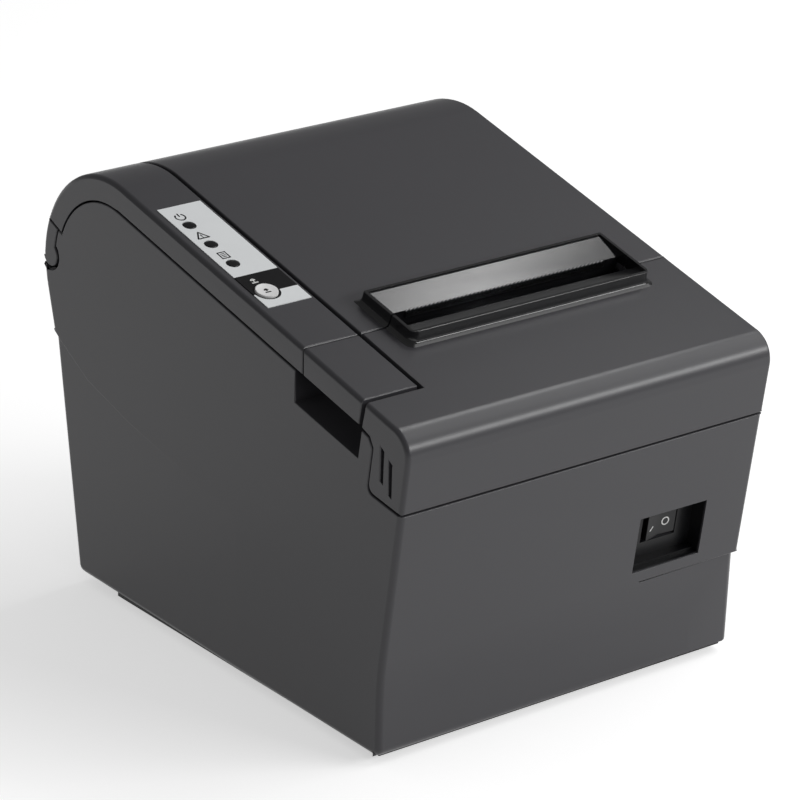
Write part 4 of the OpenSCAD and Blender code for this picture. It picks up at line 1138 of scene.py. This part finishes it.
print("strokes:", STROKE, "mm wide and", INK_T, "mm thick")

# %% [markdown]
# ### Four signs
#
# Each function returns the strokes of one sign, round a middle on the plane.

# %% Drawing the signs
THIN = 0.44


def power_sign(x, s, h):
    ring = ring_stroke((x, s), 1.7, height=h, opening=70)
    return [ring, bar((x, s + 1.25), 1.9, 90, height=h)]


def warning_sign(x, s, h, size=4.1, dot=0.42):
    tall = size * math.sqrt(3) / 2
    low = s - tall / 3
    reach = size + STROKE * 0.6
    sides = [bar((x, low), reach, 0, height=h),
             bar((x - size / 4, low + tall / 2), reach, 60, height=h),
             bar((x + size / 4, low + tall / 2), reach, -60, height=h)]
    return sides + [bar((x, s + 0.3), 1.2, 90, dot, h), bar((x, s - 0.72), dot, 0, dot, h)]


def paper_sign(x, s, h):
    strokes = [bar((x, s + side * 1.7), 3.2, 0, THIN, h) for side in (-1, 1)]
    strokes += [bar((x + side * 1.4, s), 3.8, 90, THIN, h) for side in (-1, 1)]
    return strokes + [bar((x, s + step), 1.5, 0, 0.34, h) for step in (-0.8, 0.0, 0.8)]


def feed_sign(x, s, h, size=1.0):
    strokes = [bar((x, s - 1.15 * size), 2.6 * size, 0, height=h),
               bar((x, s + 0.3 * size), 1.7 * size, 90, height=h)]
    for side in (-1, 1):
        tip = (x + side * 0.48 * size, s + 0.75 * size)
        strokes.append(bar(tip, 1.3 * size, -side * 45, height=h))
    return strokes


WINDOW_SIGNS = (paper_sign, warning_sign, power_sign)
print("window signs, from the front:", [sign.__name__ for sign in WINDOW_SIGNS])

# %% [markdown]
# ### Printing the signs
#
# The three window signs are one piece in black ink. The arrow stands in white on the black band,
# and once more in black on the button, with which it moves.

# %% Signs in place
SIGN_UP, LABEL_TOP, DISH_DEPTH = 5.1, 0.25, 0.24

signs = []
for number, sign in enumerate(WINDOW_SIGNS):
    signs += sign(LED_X, LED_S + number * LED_PITCH + SIGN_UP, LABEL_TOP)
printed_signs = seat(joined("printed_signs", *signs), TOP)
finish_piece(printed_signs, ink_finish, "case", "label")
arrow = feed_sign(BUTTON[0] - 0.4, BUTTON[1] + 6.6, LABEL_TOP, 0.9)
band_sign = seat(joined("band_sign", *arrow), TOP)
finish_piece(band_sign, mark_finish, "case", "label")
arrow = feed_sign(*BUTTON, CAP_TOP - DISH_DEPTH, 0.8)
cap_sign = seat(joined("button_sign", *arrow), TOP)
finish_piece(cap_sign, ink_finish, "button", "label")

# %% [markdown]
# ## The power switch
#
# The rocker sits deep in a recess, which is lined by a thin open box, with a low ledge along its
# floor and a hole for the rocker in its back. The lining is near-black: partly the black plastic
# round the switch, and partly painted shade for the dark of the deep recess. Depth counts inwards
# from the front wall here.

# %% The lining of the recess
SWITCH_X, RECESS_W, RECESS_Z = 40.2, 27.6, (39.8, 59.2)
RECESS_DEPTH, RECESS_START = 6.0, 0.55
ROCKER, ROCKER_Z, ROCKER_GAP = (12.8, 11.6), 52.6, 0.8
LINING_T, LINING_FIT, LINING_ROUND = 0.3, 0.02, 0.12
LEDGE_START, LEDGE_H = 2.6, 0.9
front_z = FRONT.translation.z / MM
lean = math.cos(front_angle - math.pi)
mouth = [(z - front_z) / lean for z in RECESS_Z]
rocker_h = (ROCKER_Z - front_z) / lean


def front_box(name, half_width, depth, low, high):
    return block(name, (SWITCH_X - half_width, SWITCH_X + half_width), depth, (low, high))


room_w, room_depth, room_low = RECESS_W / 2 - LINING_T, RECESS_DEPTH - LINING_T, mouth[0] + LINING_T
hole_up = ROCKER[1] / 2 + ROCKER_GAP
shade_lining = front_box("recess_shade_lining", RECESS_W / 2 - LINING_FIT,
                   (RECESS_START, RECESS_DEPTH - LINING_FIT), mouth[0] + LINING_FIT,
                   mouth[1] - LINING_FIT)
room = front_box("room", room_w, (-2, room_depth), room_low, mouth[1] - LINING_T)
combine(shade_lining, room, "DIFFERENCE")
ledge = front_box("ledge", room_w, (LEDGE_START, room_depth), room_low, room_low + LEDGE_H)
combine(shade_lining, ledge, "UNION")
hole = front_box("hole", ROCKER[0] / 2 + ROCKER_GAP, (0, 9), rocker_h - hole_up, rocker_h + hole_up)
combine(shade_lining, hole, "DIFFERENCE")
modify(shade_lining, "BEVEL", width=LINING_ROUND * MM, segments=2, limit_method="ANGLE",
       angle_limit=EXIT_SHARP)
seat(smooth(shade_lining), FRONT)
finish_piece(shade_lining, black_and_shade_finish, "case", "casing_dark")

# %% [markdown]
# ### The rocker and its marks
#
# The rocker's edges are rounded. The two marks stand on its two sloping halves: a line for on and
# a ring for off. Their plane follows the rocker at rest, which is turned about a pivot behind its
# face.

# %% Rocker and marks
ROCKER_ROUND, ROCKER_SHARP, ROCKER_TILT = 0.3, math.radians(40), math.radians(5)
PIVOT_DEPTH, HALF_RISE = RECESS_DEPTH + 4, 1.0
MARK = 0.42

rocker_shell = welded("switch_rocker", "rocker_shell")
modify(rocker_shell, "BEVEL", width=ROCKER_ROUND * MM, segments=3, limit_method="ANGLE",
       angle_limit=ROCKER_SHARP)
finish_piece(smooth(rocker_shell), rocker_finish, "rocker", "casing_dark", "switch_rocker")


def rocker_face(side):
    """A plane on one half of the rocker: x along the face, y up, z out of it."""
    tilt = math.atan2(-side * HALF_RISE, ROCKER[0] / 2)
    across = Vector((math.cos(tilt), math.sin(tilt), 0))
    out = Vector((math.sin(tilt), -math.cos(tilt), 0))
    middle = Vector((side * ROCKER[0] / 4, RECESS_DEPTH - HALF_RISE / 2, 0)) * MM
    face = Matrix.Translation(middle) @ Matrix((across, (0, 0, 1), out)).transposed().to_4x4()
    pivot = Matrix.Translation(Vector((SWITCH_X, PIVOT_DEPTH, rocker_h)) * MM)
    return (FRONT @ pivot @ Matrix.Rotation(ROCKER_TILT, 4, "Z")
            @ Matrix.Translation((0, -PIVOT_DEPTH * MM, 0)) @ face)


marks = [seat(bar((-0.9, -2.0), 2.0, 40, MARK), rocker_face(-1)),
         seat(ring_stroke((-0.9, -1.1), 1.3, MARK), rocker_face(1))]
switch_marks = joined("switch_marks", *marks)
finish_piece(switch_marks, mark_finish, "rocker", "label")

# %% [markdown]
# ## The springs
#
# A spring is one round wire wound into a coil. A small circle stands for the wire's section, the
# Screw modifier sweeps it along a helix, and the two open ends are filled.

# %% Winding wire
WIRE_SIDES, TURN_STEPS, ROUND_WIRE = 10, 24, 60


def wound(name, plane, length, outer, wire, turns):
    """A spring that stands on a plane; all lengths in metres."""
    fresh()
    bpy.ops.mesh.primitive_circle_add(vertices=WIRE_SIDES, radius=wire / 2,
                                      rotation=(math.pi / 2, 0, 0),
                                      location=((outer - wire) / 2, 0, wire / 2))
    spring = named(name)
    modify(spring, "SCREW", axis="Z", angle=math.tau, screw_offset=(length - wire) / turns,
           iterations=turns, steps=TURN_STEPS, render_steps=TURN_STEPS, use_merge_vertices=False)
    edit(spring, "VERT", lambda place, normal: True)
    bpy.ops.mesh.fill_holes(sides=WIRE_SIDES)
    bpy.ops.mesh.normals_make_consistent(inside=False)
    close_edit()
    return seat(spring, plane)


print("a turn has", TURN_STEPS, "steps and a wire", WIRE_SIDES, "sides")

# %% [markdown]
# ### The three springs
#
# Two short springs press the print head against the roller, and a third one sits round the latch
# shaft. Each fills the room of its CAD tube, so its length and width are read from that node.

# %% Springs in place
HEAD_WIRE, HEAD_TURNS = 0.6, 5
LATCH_WIRE, LATCH_TURNS = 0.5, 6

low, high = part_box("head_springs")
middle_z, outer = (low.z + high.z) / 2, high.z - low.z
inwards = Matrix.Rotation(-math.pi / 2, 4, "X")
head_coils = joined("head_coils", *[
    wound("coil", Matrix.Translation((x, low.y, middle_z)) @ inwards, high.y - low.y, outer,
          HEAD_WIRE * MM, HEAD_TURNS) for x in (low.x + outer / 2, high.x - outer / 2)])
finish_piece(smooth(head_coils, ROUND_WIRE), steel_finish, "case", "steel", "head_springs")

low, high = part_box("latch_spring")
foot = Matrix.Translation((low.x, (low.y + high.y) / 2, (low.z + high.z) / 2))
latch_coil = wound("latch_coil", foot @ Matrix.Rotation(math.pi / 2, 4, "Y"), high.x - low.x,
                   high.z - low.z, LATCH_WIRE * MM, LATCH_TURNS)
finish_piece(smooth(latch_coil, ROUND_WIRE), steel_finish, "case", "steel", "latch_spring")

# %% [markdown]
# ## The studio
#
# The printer stands on a white floor. Rays that look straight at the floor, or at its mirror
# image, find a pale sheet that also glows a little, so it renders white and still keeps the shadow
# that it receives. Scattered light finds plain pale paper, so the glow throws no extra light on
# the printer.

# %% The floor
def seen_directly(tree):
    """One for rays that look at a surface or its mirror image, zero for scattered light."""
    rays = tree.nodes.new("ShaderNodeLightPath").outputs
    sharp = sums(tree, "MAXIMUM", rays["Is Glossy Ray"], rays["Is Transmission Ray"])
    return sums(tree, "MAXIMUM", rays["Is Camera Ray"], sharp)


FLOOR_SHARE, FLOOR_GLOW, PLAIN_SHARE, FLOOR_SIZE = 0.86, 0.53, 0.80, 8
fresh()
bpy.ops.mesh.primitive_plane_add(size=FLOOR_SIZE)
floor = named("floor")
paper = bpy.data.materials.new("floor_paper")
paper.use_nodes = True
tree = paper.node_tree
tree.nodes.remove(tree.nodes["Principled BSDF"])
out = tree.nodes["Material Output"]
plain, shaded = (tree.nodes.new("ShaderNodeBsdfDiffuse") for _ in range(2))
plain.inputs["Color"].default_value = (PLAIN_SHARE,) * 3 + (1,)
shaded.inputs["Color"].default_value = (FLOOR_SHARE,) * 3 + (1,)
glow = tree.nodes.new("ShaderNodeEmission")
glow.inputs["Strength"].default_value = FLOOR_GLOW
bright = tree.nodes.new("ShaderNodeAddShader")
tree.links.new(shaded.outputs[0], bright.inputs[0])
tree.links.new(glow.outputs[0], bright.inputs[1])
choose = tree.nodes.new("ShaderNodeMixShader")
tree.links.new(seen_directly(tree), choose.inputs[0])
tree.links.new(plain.outputs[0], choose.inputs[1])
tree.links.new(bright.outputs[0], choose.inputs[2])
tree.links.new(choose.outputs[0], out.inputs["Surface"])
floor.data.materials.append(paper)
floor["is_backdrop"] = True
print("floor ready")

# %% [markdown]
# ### The surround
#
# A weak white surround fills every direction that no lamp covers. It sets how dark the darkest
# wall may get.

# %% A weak white surround
SURROUND = 0.25
world = bpy.data.worlds.new("surround")
bpy.context.scene.world = world
world.use_nodes = True
back_light = world.node_tree.nodes["Background"]
back_light.inputs["Color"].default_value = (1, 1, 1, 1)
back_light.inputs["Strength"].default_value = SURROUND
print("surround ready")

# %% [markdown]
# ### The lamps
#
# Dark plastic shows its shape almost only by what it reflects, so each lamp is placed where a
# surface mirrors it. A wide softbox above the right side lights the sloping top, a long low one at
# the front right draws the bright line along the brow, and a small one further back puts the sheen
# on the slope in the paper exit.

# %% Three softboxes
CENTRE = (0, 0, 0.08)
# Place and size in metres, power in watts
LAMPS = {
    "overhead": ((0.99, -0.40, 1.26), (1.2, 1.0), 7.6),
    "front_right": ((0.92, -1.18, 0.66), (1.2, 0.20), 11),
    "kicker": ((0.87, 0.32, 1.30), (0.24, 0.24), 1.9),
}


def softbox(name, place, size, power):
    """An area lamp that looks at the printer's middle."""
    data = bpy.data.lights.new(name, "AREA")
    data.shape = "RECTANGLE"
    data.size, data.size_y = size
    data.energy = power
    lamp = bpy.data.objects.new(name, data)
    bpy.context.scene.collection.objects.link(lamp)
    lamp.location = place
    lamp.rotation_euler = (Vector(CENTRE) - Vector(place)).to_track_quat("-Z", "Y").to_euler()


for name, settings in LAMPS.items():
    softbox(name, *settings)
print("lamps:", ", ".join(LAMPS))

# %% [markdown]
# ## The camera
#
# The camera is a long lens about 1.3 m away, to the front left and above, and very slightly
# rolled. Its place follows from where it aims, how it is turned, and how far off it stands.

# %% The camera
AZIMUTH, ELEVATION, ROLL = (math.radians(v) for v in (-38.272, 21.967, 1.375))
DISTANCE = 1.285788
AIM = Vector((1.80, 1.01, 74.731)) * MM
LENS, FILM, CLIP = 178.286, 36.0, (0.05, 20)

back = Vector((math.sin(AZIMUTH) * math.cos(ELEVATION),
               -math.cos(AZIMUTH) * math.cos(ELEVATION), math.sin(ELEVATION)))
level = Vector((0, 0, 1)).cross(back).normalized()
upright = back.cross(level)
right = level * math.cos(ROLL) + upright * math.sin(ROLL)
above = upright * math.cos(ROLL) - level * math.sin(ROLL)
view = bpy.data.cameras.new("view")
view.lens, view.sensor_width = LENS, FILM
view.clip_start, view.clip_end = CLIP
camera = bpy.data.objects.new("view", view)
bpy.context.scene.collection.objects.link(camera)
camera.matrix_world = Matrix.Translation(AIM + back * DISTANCE) @ Matrix(
    (right, above, back)).transposed().to_4x4()
bpy.context.scene.camera = camera
bpy.context.scene.view_settings.view_transform = "Standard"
print("camera at", [round(v, 3) for v in camera.location])

# %% [markdown]
# ## Closing
#
# How far the dressed printer's box reaches past the box of its construction is printed, in
# millimetres on each side.

# %% Sizes and finish
visual_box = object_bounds()
grown = [[round((v - c) / MM, 3) for v, c in zip(a, b)] for a, b in zip(visual_box, cad_box)]
print("grown by", grown, "mm")
